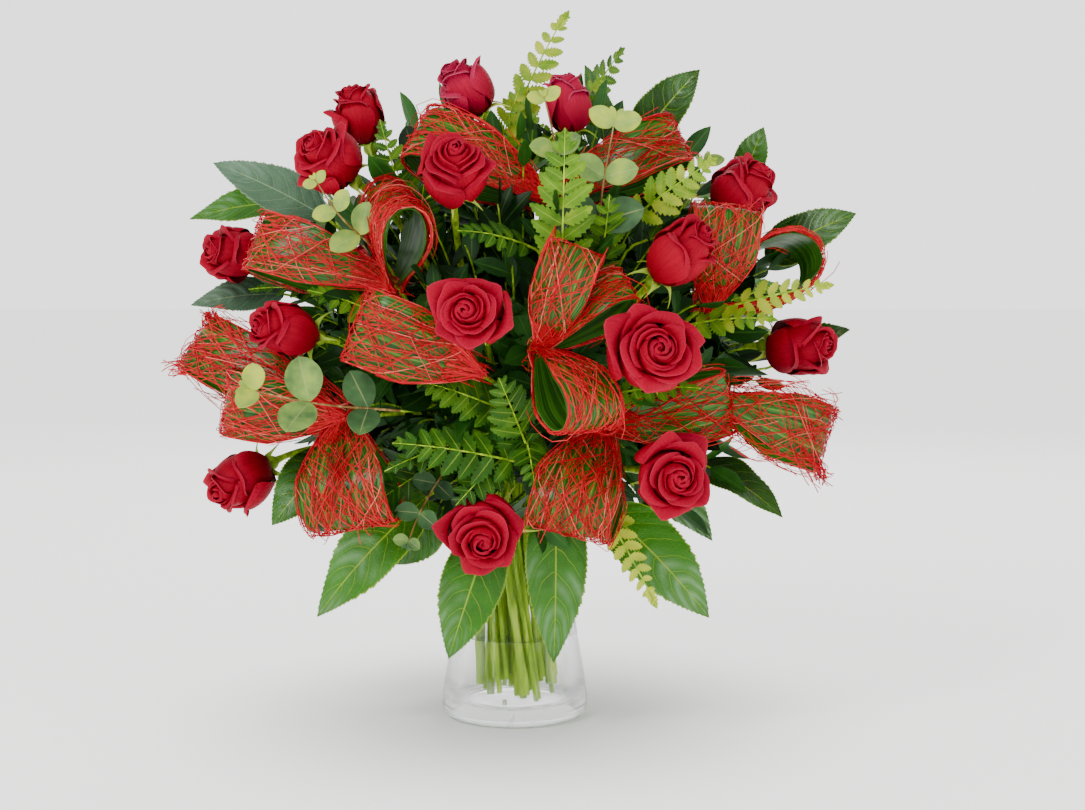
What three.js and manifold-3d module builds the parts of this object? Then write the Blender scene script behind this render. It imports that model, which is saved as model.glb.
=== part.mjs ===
// Roses in a glass vase: eighteen red roses with broad serrated leaves, fern, eucalyptus and
// looped strap leaves faced with red sisal web, standing in a tapered vase of water.
// Millimetres, +Z up, the viewer looks along +Y. The origin is the middle of the vase's foot.
import * as THREE from "three";
import { mergeVertices } from "three/addons/utils/BufferGeometryUtils.js";
import Module from "manifold-3d";

const wasm = await Module();
wasm.setup();

// ---- Driving dimensions ----
const VASE = {
  height: 160,
  footRadius: 49,
  bodyRadius: 55,
  neckRadius: 41.5,
  neckHeight: 125,
  rimRadius: 46,
  wall: 3,
  floor: 11,
  facets: 24,
};
const WATER = { level: 63, radius: 44 };
const GAP = 0.35; // clearance between pieces that touch
const STEM = { radius: 2.6, sides: 5, steps: 6 };
const TWIG = { radius: 1.7, sides: 4, steps: 7 }; // the stem of a spray of foliage
const BRANCH = { radius: 1.2, sides: 3, steps: 3 };
const KNOB = 4.2; // the knob where branches leave a twig, or loops their knot
const HIP = { radius: 5.4, length: 9 };
const SEPALS = { count: 5, reach: 23, droop: 9 };
const LEAF = { thickness: 1.5, arch: 0.12, fold: 0.16, steps: 8, notch: 0.86, sweep: 0.8 };
const ROUND_LEAF = { thickness: 1.5, arch: 0.06, fold: 0.1, steps: 3 };
const FROND = { thickness: 1.5, arch: 0.14, ribWidth: 3, sweep: 0.32, droop: 0.12 };
const STRAP = { thickness: 1.3, rows: 7, armGap: 2.6, belly: 1.25 };
const WEB = { thickness: 1.2, rows: 6, lift: 2.1, ragged: 0.06, fray: 5, share: 0.94 };
const HEART = new THREE.Vector3(5, 0, 235); // the point that the bouquet fans out from
const CROWN = new THREE.Vector3(5, 0, 150); // the point that branches lean away from
const NECK_SPREAD = 32; // how far from the axis the outermost stem passes the neck
const NECK_GAP = 1.9; // the least space between two stems there
const WIDEST_FAN = THREE.MathUtils.degToRad(118); // the fan angle of that outermost stem
const SPIRAL = THREE.MathUtils.degToRad(28); // the turn of the stems between neck and floor
const FLOOR_SPREAD = 1.2; // how much wider they stand on the floor
const FULL_TURN = 2 * Math.PI;

const vec = ([x, y, z]) => new THREE.Vector3(x, y, z);
const at = (point, ...steps) => {
  const moved = point.clone();
  for (const [direction, distance] of steps) moved.addScaledVector(direction, distance);
  return moved;
};
const unit = (vector) => vector.clone().normalize();
const cross = (a, b) => new THREE.Vector3().crossVectors(a, b);

// ---- Layout ----
// Each rose: the middle of its bloom, the way that the bloom faces, its radius and depth, and how open it is.
const ROSES = [
  { place: [-24, -192, 308], faces: [-0.08, -0.98, 0.12], radius: 30, depth: 44, open: 1 },
  { place: [94, -178, 284], faces: [0.22, -0.93, 0.22], radius: 36, depth: 48, open: 1 },
  { place: [107, -155, 199], faces: [0.22, -0.95, 0.06], radius: 32.5, depth: 46, open: 1 },
  { place: [-19, -134, 156], faces: [-0.08, -0.96, -0.22], radius: 31.5, depth: 44, open: 1 },
  { place: [-39, -140, 402], faces: [0.02, -0.78, 0.6], radius: 29.5, depth: 48, open: 0.85 },
  { place: [-128, -92, 412], faces: [-0.6, -0.62, 0.48], radius: 28.5, depth: 46, open: 0.75 },
  { place: [-112, -36, 448], faces: [-0.3, -0.25, 0.92], radius: 25, depth: 44, open: 0.55 },
  { place: [-34, -55, 465], faces: [-0.55, -0.35, 0.75], radius: 25, depth: 44, open: 0.6 },
  { place: [39, -62, 454], faces: [-0.08, -0.2, 0.98], radius: 23, depth: 43, open: 0.25 },
  { place: [164, -52, 394], faces: [0.55, -0.42, 0.7], radius: 31, depth: 50, open: 0.55 },
  { place: [114, -150, 347], faces: [0.6, -0.5, 0.62], radius: 27, depth: 53, open: 0.4 },
  { place: [205, -68, 282], faces: [0.82, -0.56, 0.02], radius: 28, depth: 50, open: 0.55 },
  { place: [-206, -30, 347], faces: [-0.8, -0.58, 0.1], radius: 27, depth: 44, open: 0.6 },
  { place: [-157, -113, 294], faces: [-0.74, -0.62, 0.18], radius: 26, depth: 50, open: 0.5 },
  { place: [-197, -62, 185], faces: [-0.62, -0.55, -0.32], radius: 29, depth: 50, open: 0.5 },
  { place: [105, 128, 392], faces: [0.4, 0.62, 0.66], radius: 29, depth: 46, open: 0.8 },
  { place: [-128, 118, 330], faces: [-0.6, 0.75, 0.26], radius: 30, depth: 46, open: 0.9 },
  { place: [35, 168, 265], faces: [0.14, 0.98, -0.02], radius: 31, depth: 46, open: 1 },
];

// Broad leaves: root, tip, the way that the upper face looks, and width.
const LEAF_SPRAYS = [
  {
    name: "leaf_spray_front",
    hub: [3, -54, 200],
    leaves: [
      { root: [-61, -96, 176], tip: [-141, -70, 87], face: [-0.35, -0.85, 0.35], width: 50 },
      { root: [-50, -74, 166], tip: [-86, -52, 122], face: [-0.2, -0.9, 0.3], width: 40 },
      { root: [-16, -80, 150], tip: [-46, -82, 59], face: [-0.1, -1, 0.1], width: 46 },
      { root: [30, -86, 178], tip: [29, -82, 56], face: [0.12, -1, 0.1], width: 45 },
      { root: [66, -82, 166], tip: [139, -90, 90], face: [0.3, -0.85, 0.4], width: 52 },
    ],
  },
  {
    name: "leaf_spray_right",
    hub: [74, 8, 262],
    leaves: [
      { root: [134, -40, 196], tip: [192, -78, 160], face: [0.1, -0.5, 0.85], width: 38 },
      { root: [186, -16, 345], tip: [250, -30, 377], face: [0, -0.85, 0.5], width: 38 },
      { root: [92, -4, 430], tip: [136, -20, 482], face: [-0.2, -0.9, 0.3], width: 38 },
      { root: [66, -16, 432], tip: [52, -22, 485], face: [0.6, -0.8, 0.2], width: 25 },
      { root: [172, 14, 400], tip: [186, 4, 442], face: [-0.3, -0.9, 0.3], width: 27 },
      { root: [205, 10, 268], tip: [248, -20, 292], face: [0, -0.7, 0.7], width: 32 },
    ],
  },
  {
    name: "leaf_spray_left",
    hub: [-75, -8, 250],
    leaves: [
      { root: [-135, -58, 374], tip: [-217, -40, 413], face: [0.1, -0.9, 0.4], width: 36 },
      { root: [-160, 6, 386], tip: [-244, 10, 374], face: [0, -0.7, 0.7], width: 36 },
      { root: [-172, -8, 318], tip: [-238, -22, 310], face: [0, -0.8, 0.6], width: 30 },
      { root: [-126, -70, 206], tip: [-170, -90, 156], face: [-0.2, -0.9, 0.3], width: 42 },
    ],
  },
  {
    name: "leaf_spray_back",
    hub: [-6, 45, 235],
    leaves: [
      { root: [-62, 92, 180], tip: [-128, 128, 108], face: [-0.3, 0.85, 0.4], width: 50 },
      { root: [14, 84, 176], tip: [24, 104, 72], face: [0, 1, 0.15], width: 48 },
      { root: [88, 80, 186], tip: [158, 96, 118], face: [0.35, 0.85, 0.4], width: 48 },
      { root: [-60, 130, 385], tip: [-92, 158, 458], face: [-0.1, 0.9, 0.3], width: 40 },
      { root: [150, 104, 300], tip: [226, 130, 318], face: [0.3, 0.9, 0.3], width: 42 },
      { root: [-150, 96, 258], tip: [-222, 118, 232], face: [-0.2, 0.85, 0.5], width: 44 },
      { root: [-112, 50, 326], tip: [-196, 58, 350], face: [-0.3, 0.8, 0.5], width: 44 },
      { root: [34, 96, 372], tip: [50, 142, 452], face: [0.1, 0.9, 0.4], width: 42 },
      { root: [96, 92, 316], tip: [176, 120, 360], face: [0.3, 0.8, 0.5], width: 42 },
    ],
  },
];

// Fern fronds: root, tip, the way that the upper face looks, width over both sides, pairs of leaflets.
const FERN_SPRAYS = [
  {
    name: "fern_top",
    hub: [12, 8, 340],
    fronds: [
      { root: [0, -28, 446], tip: [40, -36, 523], face: [-0.2, -0.95, 0.2], width: 36, pairs: 7 },
      { root: [48, 40, 450], tip: [84, 62, 508], face: [0.2, 0.5, 0.8], width: 36, pairs: 6 },
      { root: [10, 140, 340], tip: [-8, 190, 402], face: [0, 0.8, 0.6], width: 44, pairs: 6 },
    ],
  },
  {
    name: "fern_left",
    hub: [-62, -42, 300],
    fronds: [
      { root: [-98, -80, 314], tip: [-190, -56, 322], face: [0, -0.7, 0.7], width: 32, pairs: 7 },
      { root: [-74, -70, 372], tip: [-92, -92, 440], face: [-0.1, -0.95, 0.3], width: 36, pairs: 7 },
      { root: [-96, 60, 360], tip: [-168, 96, 400], face: [-0.4, 0.5, 0.7], width: 40, pairs: 6 },
    ],
  },
  {
    name: "fern_centre",
    hub: [9, -62, 268],
    fronds: [
      { root: [34, -128, 338], tip: [36, -150, 430], face: [0, -0.96, 0.25], width: 52, pairs: 8 },
      { root: [12, -112, 352], tip: [-36, -146, 362], face: [0, -0.8, 0.6], width: 34, pairs: 6 },
      { root: [4, -122, 204], tip: [-80, -152, 220], face: [-0.1, -0.9, 0.4], width: 48, pairs: 7 },
      { root: [11, -118, 212], tip: [-8, -160, 264], face: [0, -0.95, 0.3], width: 46, pairs: 6 },
    ],
  },
  {
    name: "fern_right",
    hub: [72, -58, 238],
    fronds: [
      { root: [84, -98, 372], tip: [140, -120, 412], face: [0, -0.95, 0.3], width: 38, pairs: 7 },
      { root: [156, -98, 312], tip: [220, -124, 326], face: [0.1, -0.95, 0.3], width: 28, pairs: 7 },
      { root: [60, -116, 176], tip: [100, -132, 104], face: [0.1, -0.97, 0.2], width: 30, pairs: 8 },
    ],
  },
];

// Eucalyptus sprigs: points along the stem, then leaves as [share along the stem, side, length, width].
const EUCALYPTUS = [
  {
    name: "eucalyptus_left",
    hub: [-48, -70, 240],
    sprigs: [
      {
        path: [[-76, -130, 240], [-128, -150, 246], [-176, -152, 256]],
        face: [0, -0.8, 0.6],
        leaves: [26, 30, 18],
      },
      {
        path: [[-46, -100, 198], [-62, -117, 172], [-72, -126, 148]],
        face: [-0.1, -0.9, 0.3],
        leaves: [16, 16, 10],
      },
    ],
  },
  {
    name: "eucalyptus_right",
    hub: [40, -48, 320],
    sprigs: [
      {
        path: [[58, -116, 352], [62, -124, 392], [70, -124, 438]],
        face: [0, -0.95, 0.3],
        leaves: [30, 22, 18],
      },
      { path: [[32, -100, 408], [28, -108, 430], [22, -112, 454]], face: [0, -0.9, 0.4], leaves: [18, 12] },
    ],
  },
];

// Strap-leaf loops: each knot holds loops that reach out to a far end.
// The front is the side that the web covers first.
const LOOP_SPRAYS = [
  {
    name: "loops_centre",
    hub: [14, -58, 232],
    knots: [
      {
        at: [20, -140, 282],
        loops: [
          { end: [44, -158, 350], front: [0, -1, 0.25], width: 38, open: 30 },
          { end: [78, -154, 326], front: [-0.2, -0.8, 0.6], width: 28, open: 24 },
          { end: [54, -184, 236], front: [0.5, -0.7, 0.4], width: 44, open: 34 },
        ],
      },
      {
        at: [-24, -140, 268],
        loops: [{ end: [-102, -160, 300], front: [-0.1, -1, 0.1], width: 52, open: 36 }],
      },
    ],
  },
  {
    name: "loops_right",
    hub: [56, -56, 222],
    knots: [
      {
        at: [62, -108, 227],
        loops: [
          { end: [38, -150, 160], front: [-0.2, -1, 0.1], width: 58, open: 34 },
          { end: [150, -116, 246], front: [0, -1, -0.2], width: 44, open: 26 },
        ],
      },
      {
        at: [144.5, -115.5, 245],
        onTip: true,
        loops: [{ end: [220, -84, 216], front: [0.2, -1, 0.1], width: 46, open: 32 }],
      },
      {
        at: [138, -92, 312],
        loops: [
          { end: [148, -118, 378], front: [0.1, -1, 0.2], width: 46, open: 32 },
          { end: [212, -58, 348], front: [0.1, -0.3, -1], width: 34, open: 44 },
        ],
      },
    ],
  },
  {
    name: "loops_top",
    hub: [18, -28, 330],
    knots: [
      {
        at: [26, -72, 384],
        loops: [
          { end: [-68, -82, 432], front: [0.2, -0.85, 0.5], width: 46, open: 30 },
          { end: [118, -80, 428], front: [0, -0.9, 0.4], width: 38, open: 30 },
        ],
      },
    ],
  },
  {
    name: "loops_left",
    hub: [-52, -58, 232],
    knots: [
      {
        at: [-82, -100, 326],
        loops: [
          { end: [-78, -128, 388], front: [-1, -0.4, 0], width: 52, open: 34 },
          { end: [-182, -78, 356], front: [0, -1, 0.2], width: 42, open: 28 },
        ],
      },
      {
        at: [-120, -96, 232],
        loops: [
          { end: [-230, -50, 284], front: [0, -1, 0.3], width: 44, open: 34 },
          { end: [-200, -100, 244], front: [0, -1, 0], width: 46, open: 34 },
          { end: [-110, -128, 160], front: [-0.2, -1, 0.1], width: 62, open: 38 },
        ],
      },
    ],
  },
  {
    name: "loops_back",
    hub: [10, 52, 262],
    knots: [
      {
        at: [-18, 116, 300],
        loops: [
          { end: [-72, 172, 342], front: [0, 1, 0.3], width: 46, open: 32 },
          { end: [66, 162, 340], front: [0, 1, 0.2], width: 46, open: 32 },
          { end: [-66, 168, 236], front: [-0.2, 1, 0], width: 50, open: 34 },
        ],
      },
    ],
  },
];

// ---- Solids ----
function solidFrom(points, triangles) {
  const vertProperties = new Float32Array(points.flatMap((p) => [p.x, p.y, p.z]));
  return new wasm.Manifold(
    new wasm.Mesh({ numProp: 3, vertProperties, triVerts: new Uint32Array(triangles.flat()) }),
  );
}

function solidOf(geometry) {
  const bare = geometry.clone();
  for (const name of Object.keys(bare.attributes)) if (name !== "position") bare.deleteAttribute(name);
  const merged = mergeVertices(bare, 1e-3);
  const index = merged.index.array;
  const kept = [];
  for (let i = 0; i < index.length; i += 3) {
    const [a, b, c] = [index[i], index[i + 1], index[i + 2]];
    if (a !== b && b !== c && c !== a) kept.push(a, b, c);
  }
  return new wasm.Manifold(
    new wasm.Mesh({
      numProp: 3,
      vertProperties: merged.attributes.position.array,
      triVerts: new Uint32Array(kept),
    }),
  );
}

function geometryOf(solid) {
  const mesh = solid.getMesh();
  return new THREE.BufferGeometry()
    .setAttribute("position", new THREE.BufferAttribute(new Float32Array(mesh.vertProperties), 3))
    .setIndex(new THREE.BufferAttribute(new Uint32Array(mesh.triVerts), 1))
    .toNonIndexed();
}

const fuse = (solids) => solids.reduce((whole, solid) => whole.add(solid));

// The largest body of a solid: loose scraps left by a cut are dropped.
const largest = (solid) => solid.decompose().reduce((a, b) => (b.volume() > a.volume() ? b : a));

// A rod of regular section along a curve.
function rod(curve, radius, sides, steps) {
  const corners = Array.from({ length: sides }, (_, i) => {
    const angle = (FULL_TURN * i) / sides;
    return new THREE.Vector2(radius * Math.cos(angle), radius * Math.sin(angle));
  });
  const section = new THREE.Shape(corners);
  return solidOf(new THREE.ExtrudeGeometry(section, { steps, extrudePath: curve, bevelEnabled: false }));
}

const EDGE_GROWTH = 1.6; // a sharp edge grows further than the faces beside it
// A thin blade in rows of left edge, rib and right edge: its two faces are split alike and share their edge.
function blade(root, rows, tip, thickness, grow) {
  const half = thickness / 2 + grow;
  const out = grow * EDGE_GROWTH;
  const first = at(root, [unit(root.clone().sub(rows[0].rib)), out]);
  const last = at(tip, [unit(tip.clone().sub(rows.at(-1).rib)), out]);
  const points = [first, last];
  for (const { rib, up, left, right } of rows) {
    const across = unit(right.clone().sub(left));
    points.push(at(left, [across, -out]), at(right, [across, out]));
    points.push(at(rib, [up, half]), at(rib, [up, -half]));
  }
  const id = (row, corner) => 2 + 4 * row + corner; // corners: 0 left, 1 right, 2 over the rib, 3 under it
  const face = [];
  const end = rows.length - 1;
  for (const [rib, flip] of [[2, false], [3, true]]) {
    const side = [
      [0, id(0, 1), id(0, rib)],
      [0, id(0, rib), id(0, 0)],
      [id(end, rib), id(end, 1), 1],
      [id(end, 0), id(end, rib), 1],
    ];
    for (let i = 0; i < end; i++) {
      side.push([id(i, rib), id(i, 1), id(i + 1, 1)], [id(i, rib), id(i + 1, 1), id(i + 1, rib)]);
      side.push([id(i, 0), id(i, rib), id(i + 1, 0)], [id(i, rib), id(i + 1, rib), id(i + 1, 0)]);
    }
    face.push(...side.map(([a, b, c]) => (flip ? [a, c, b] : [a, b, c])));
  }
  return solidFrom(points, face);
}

// The rib of a leaf or frond arches from root to tip; each row gives the rib point and the directions there.
function ribFrame(root, tip, face, arch) {
  const length = root.distanceTo(tip);
  const crown = at(root.clone().lerp(tip, 0.5), [face, arch * length]);
  const curve = new THREE.QuadraticBezierCurve3(root, crown, tip);
  return (share) => {
    const along = curve.getTangent(share);
    const side = unit(cross(along, face));
    return { rib: curve.getPoint(share), along, side, up: cross(side, along) };
  };
}

const rowOf = ({ rib, up, side, along }, half, lift, sweep) => ({
  rib,
  up,
  left: at(rib, [side, -half], [up, lift], [along, sweep]),
  right: at(rib, [side, half], [up, lift], [along, sweep]),
});

// A broad leaf is widest below its middle, and every other row is notched in to cut its edge.
function leaf({ root, tip, face, width }, grow) {
  const [from, to] = [vec(root), vec(tip)];
  const frame = ribFrame(from, to, unit(vec(face)), LEAF.arch);
  const outline = (share) => share ** 0.55 * (1 - share) ** 0.95;
  const widest = outline(0.55 / (0.55 + 0.95));
  const rows = Array.from({ length: LEAF.steps - 1 }, (_, i) => {
    const share = (i + 1) / LEAF.steps;
    const isTooth = i % 2 === 0;
    const half = (width / 2) * (outline(share) / widest) * (isTooth ? 1 : LEAF.notch);
    return rowOf(frame(share), half, LEAF.fold * half, isTooth ? LEAF.sweep : -LEAF.sweep);
  });
  return blade(from, rows, to, LEAF.thickness, grow);
}

function roundLeaf({ root, tip, face, width }, grow) {
  const frame = ribFrame(root, tip, face, ROUND_LEAF.arch);
  const rows = Array.from({ length: ROUND_LEAF.steps - 1 }, (_, i) => {
    const share = (i + 1) / ROUND_LEAF.steps;
    const half = (width / 2) * Math.sin(Math.PI * share) ** 0.6;
    return rowOf(frame(share), half, ROUND_LEAF.fold * half, 0);
  });
  return blade(root, rows, tip, ROUND_LEAF.thickness, grow);
}

// A frond is one arched blade whose outline is cut to the rib between its leaflets, which sweep to the tip.
function frond({ root, tip, face, width, pairs }, grow) {
  const [from, to] = [vec(root), vec(tip)];
  const frame = ribFrame(from, to, unit(vec(face)), FROND.arch);
  const rows = [];
  for (let pair = 0; pair < pairs; pair++) {
    const cutShare = (pair + 0.2) / (pairs + 0.2);
    const tipShare = (pair + 0.7) / (pairs + 0.2);
    const leaflet = (width / 2) * (1 - tipShare) ** 0.7 * Math.min(1, 0.55 + 2.5 * tipShare);
    rows.push(rowOf(frame(cutShare), FROND.ribWidth / 2, 0, 0));
    rows.push(rowOf(frame(tipShare), leaflet, -FROND.droop * leaflet, FROND.sweep * leaflet));
  }
  return blade(from, rows, to, FROND.thickness, grow);
}

// ---- Stems: each passes the neck at its own point, then fans out to what it carries ----
const neckStems = [];
function claimNeck(target, radius) {
  const away = target.clone().sub(HEART);
  const fan = away.angleTo(new THREE.Vector3(0, 0, 1));
  const reach = NECK_SPREAD * Math.min(1, fan / WIDEST_FAN) ** 0.8;
  const stem = { spot: unit(away.setZ(0)).multiplyScalar(reach), radius };
  neckStems.push(stem);
  return stem;
}

// Stems that would share a place in the neck push each other aside until all have room.
function settleNeck(rounds = 300) {
  const room = VASE.neckRadius - VASE.wall - 1;
  for (let round = 0; round < rounds; round++) {
    neckStems.forEach((a, i) => {
      for (const b of neckStems.slice(i + 1)) {
        const apart = b.spot.clone().sub(a.spot);
        const push = Math.max(0, a.radius + b.radius + NECK_GAP - apart.length()) / 2;
        apart.normalize();
        a.spot.addScaledVector(apart, -push);
        b.spot.addScaledVector(apart, push);
      }
    });
    for (const { spot, radius } of neckStems) spot.clampLength(0, room - radius);
  }
}

const RISE = { share: 0.36, least: 68, steepBelow: 215, steepness: 0.8 }; // low blooms' stems clear the rim
const ARRIVAL = 0.34; // the share of its length that a stem spends turning to what it carries
const STRAIGHT_SHARE = 0.28;
// From the cut end near the floor straight to the neck, then in one bend to where the stem ends.
class StemCurve extends THREE.Curve {
  constructor(spot, cutHeight, end, endDirection) {
    super();
    this.neck = spot.clone().setZ(VASE.neckHeight);
    const turned = spot.clone().applyAxisAngle(new THREE.Vector3(0, 0, 1), SPIRAL);
    const standing = turned.multiplyScalar(FLOOR_SPREAD);
    const drop = (VASE.neckHeight - cutHeight) / (VASE.neckHeight - VASE.floor);
    this.foot = spot.clone().lerp(standing, drop).setZ(cutHeight);
    const rise = unit(this.neck.clone().sub(this.foot));
    const length = this.neck.distanceTo(end);
    const steep = RISE.least + RISE.steepness * Math.max(0, RISE.steepBelow - end.z);
    this.bend = new THREE.CubicBezierCurve3(
      this.neck,
      at(this.neck, [rise, Math.max(RISE.share * length, steep)]),
      at(end, [endDirection, -ARRIVAL * length]),
      end,
    );
  }

  getPoint(t, target = new THREE.Vector3()) {
    if (t < STRAIGHT_SHARE) return target.copy(this.foot).lerp(this.neck, t / STRAIGHT_SHARE);
    return this.bend.getPoint((t - STRAIGHT_SHARE) / (1 - STRAIGHT_SHARE), target);
  }
}

// ---- Rose ----
// The bloom is a turned profile that runs in and out over its rings of petals. A formula then raises
// five overlapping petals from each ring: each starts tucked in, rises to a tip and ends over the next one.
const PETALS = 5;
const PETAL_STEPS = 3; // the tucked start, the tip and the end of each petal
const STEP_SWELL = [-1, 0.7, 1];
const STEP_RISE = [-1, 1, 0];
const FULLY_OPEN = 0.6; // blooms that are more open than this show a fourth ring of petals
const mouthOf = ({ radius, open }) => radius * THREE.MathUtils.lerp(0.8, 1, open);

// Each ring of a bloom: its radius and height, how far its petals swell and rise, and their turn in steps.
function bloomRings(rose) {
  const { radius, depth, open } = rose;
  const mouth = mouthOf(rose);
  const lip = THREE.MathUtils.lerp(0.92, 0.68, open); // the outer petals' height, lower as they fold back
  const heart = [
    { r: 0.3 * mouth, z: 0.74 * depth },
    { r: 0.22 * mouth, z: depth, swell: 0.2, rise: 0.03 },
  ];
  return [
    { r: 0, z: 0 },
    { r: HIP.radius, z: 0 },
    { r: 0.43 * (radius + mouth), z: 0.34 * depth, swell: 0.08 },
    { r: mouth, z: lip * depth, swell: 0.1, rise: -0.05 },
    { r: 0.8 * mouth, z: (lip - 0.16) * depth },
    { r: 0.72 * mouth, z: 0.88 * depth, swell: 0.1, rise: 0.04, turn: 1 },
    { r: 0.52 * mouth, z: 0.66 * depth },
    { r: 0.46 * mouth, z: 0.96 * depth, swell: 0.12, rise: 0.05, turn: 2 },
    ...(open > FULLY_OPEN ? heart : []),
    { r: 0, z: (open > FULLY_OPEN ? 0.8 : 0.9) * depth },
  ];
}

// A closed profile of [radius, height] points, turned about the upright axis.
function turned(profile, segments) {
  const points = profile.map(([r, z]) => new THREE.Vector2(r, z));
  return new THREE.LatheGeometry(points, segments).rotateX(Math.PI / 2);
}

function bloom(rose, turn) {
  const rings = bloomRings(rose);
  const geometry = turned(rings.map(({ r, z }) => [r, z]), PETALS * PETAL_STEPS);
  const position = geometry.attributes.position;
  for (let i = 0; i < position.count; i++) {
    const { swell = 0, rise = 0, turn: phase = 0 } = rings[i % rings.length];
    const step = (Math.floor(i / rings.length) + phase) % PETAL_STEPS;
    const out = 1 + swell * STEP_SWELL[step];
    const up = 1 + rise * STEP_RISE[step];
    position.setXYZ(i, position.getX(i) * out, position.getY(i) * out, position.getZ(i) * up);
  }
  return solidOf(geometry.rotateZ(turn));
}

// The room that a bloom needs: a plain rounded drum that holds all its petals.
function bloomRoom(rose) {
  const { radius, depth, open } = rose;
  const mouth = mouthOf(rose);
  const profile = [
    [0, -GAP / 2],
    [HIP.radius + 1, -GAP / 2],
    [0.84 * radius, 0.22 * depth],
    [Math.max(0.54 * (radius + mouth), 1.15 * mouth), 0.5 * depth],
    [1.15 * mouth, THREE.MathUtils.lerp(0.94, 0.74, open) * depth],
    [0.78 * mouth, 0.98 * depth],
    [0.4 * mouth, 1.05 * depth],
    [0, 1.06 * depth],
  ];
  return solidOf(turned(profile, PETALS * PETAL_STEPS));
}

// The green cup under a bloom: its middle ring runs out into drooping sepals.
function calyx() {
  const profile = [
    [0, -HIP.length],
    [STEM.radius + 0.6, -HIP.length],
    [HIP.radius, -0.55 * HIP.length],
    [HIP.radius, -GAP],
    [0, -GAP],
  ];
  const sepalRing = 2;
  const geometry = turned(profile, 2 * SEPALS.count);
  const position = geometry.attributes.position;
  const out = SEPALS.reach / HIP.radius;
  for (let i = 0; i < position.count; i++) {
    const isTip = i % profile.length === sepalRing && Math.floor(i / profile.length) % 2 === 1;
    if (isTip) position.setXYZ(i, position.getX(i) * out, position.getY(i) * out, -SEPALS.droop);
  }
  return solidOf(geometry);
}

const placed = (solid, position, facing) => {
  const turn = new THREE.Quaternion().setFromUnitVectors(new THREE.Vector3(0, 0, 1), facing);
  const matrix = new THREE.Matrix4().compose(position, turn, new THREE.Vector3(1, 1, 1));
  return solid.transform([...matrix.elements]);
};

// ---- Loops ----
// A strap leaf runs from its knot out to the far end and back, as a drop that is open between its two arms.
function loopFrame({ from, end, front, open }) {
  const length = from.distanceTo(end);
  const out = unit(end.clone().sub(from));
  const over = unit(front.clone().addScaledVector(out, -front.dot(out)));
  const across = cross(out, over);
  const height = (angle) => (open / 2) * STRAP.belly * Math.sin(angle) * Math.sin(angle / 2) ** 1.2;
  const armGap = (angle) => (STRAP.armGap / 2) * Math.cos(angle / 2);
  const point = (angle) =>
    at(from, [out, (length * (1 - Math.cos(angle))) / 2], [over, height(angle) + armGap(angle)]);
  const step = 0.01;
  return (angle) => {
    const along = unit(point(angle + step).sub(point(angle - step)));
    return { rib: point(angle), along, side: across, up: cross(across, along) };
  };
}

// Rows of a band that follows the loop at a distance outside it.
function loopRows(frame, width, count, lift, ragged) {
  return Array.from({ length: count }, (_, i) => {
    const angle = FULL_TURN * (0.1 + (0.8 * i) / (STRAP.rows - 1));
    const tapered = Math.min(1, 0.1 + 1.35 * Math.sin(angle / 2) ** 1.5);
    const half = (width / 2) * tapered * (i % 2 ? 1 + ragged : 1 - ragged);
    const { rib, up, ...directions } = frame(angle);
    return rowOf({ rib: at(rib, [up, lift]), up, ...directions }, half, 0, 0);
  });
}

function strapLoop(loop, grow) {
  const frame = loopFrame(loop);
  const rows = loopRows(frame, loop.width, STRAP.rows, 0, 0);
  return blade(frame(0).rib, rows, frame(FULL_TURN).rib, STRAP.thickness, grow);
}

// The web lies just outside its strap, from its tie over the far end and most of the way back.
const webRows = (loop) => loopRows(loopFrame(loop), loop.width * WEB.share, WEB.rows, WEB.lift, WEB.ragged);
function webBand(loop, tie, grow) {
  const rows = webRows(loop);
  const [last, before] = [rows.at(-1).rib, rows.at(-2).rib];
  return blade(tie, rows, at(last, [unit(last.clone().sub(before)), WEB.fray]), WEB.thickness, grow);
}

// ---- The whole ----
const material = (color, roughness, opacity = 1) =>
  new THREE.MeshStandardMaterial({ color, roughness, metalness: 0, opacity, transparent: opacity < 1 });
const MATERIALS = {
  glass: material("#e4eeea", 0.05, 0.35),
  water: material("#dfe9e4", 0.05, 0.35),
  petal: material("#c8062a", 0.6),
  stem: material("#7c9a1e", 0.5),
  leaf: material("#3c7a24", 0.35),
  strap: material("#2f5a22", 0.4),
  fern: material("#6f9c2c", 0.55),
  eucalyptus: material("#8fae6a", 0.6),
  sisal: material("#d8262a", 0.8),
};

const bouquet = new THREE.Group();
const taken = []; // the room of each piece so far, a little larger than the piece
const inWater = []; // the room of each stem

function addNode(name, slot, solid) {
  const mesh = new THREE.Mesh(geometryOf(solid), MATERIALS[slot]);
  mesh.name = name;
  bouquet.add(mesh);
}

// Builds a node from makers that each take a growth; where it would touch an earlier piece, it is trimmed.
function addClear(name, slot, makers) {
  const clear = taken.reduce((left, room) => left.subtract(room), fuse(makers.map((make) => make(0))));
  taken.push(fuse(makers.map((make) => make(GAP))));
  addNode(name, slot, largest(clear));
}

// ---- Vase ----
const outside = [
  [0, 0],
  [VASE.footRadius, 0],
  [VASE.bodyRadius - 1.4, 3],
  [VASE.bodyRadius, 9],
  [VASE.bodyRadius - 1, 21],
  [WATER.radius + VASE.wall, WATER.level],
  [VASE.neckRadius + 2.2, 95],
  [VASE.neckRadius, VASE.neckHeight],
  [VASE.neckRadius + 1, 145],
  [VASE.rimRadius, VASE.height],
];
const inside = [
  [VASE.rimRadius - VASE.wall, VASE.height],
  [VASE.neckRadius + 1 - VASE.wall, 145],
  [VASE.neckRadius - VASE.wall, VASE.neckHeight],
  [VASE.neckRadius + 2.2 - VASE.wall, 95],
  [WATER.radius, WATER.level],
  [VASE.bodyRadius - 4.2, 22],
  [VASE.bodyRadius - 6.5, VASE.floor + 3],
  [VASE.bodyRadius - 12, VASE.floor],
  [0, VASE.floor],
];
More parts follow.
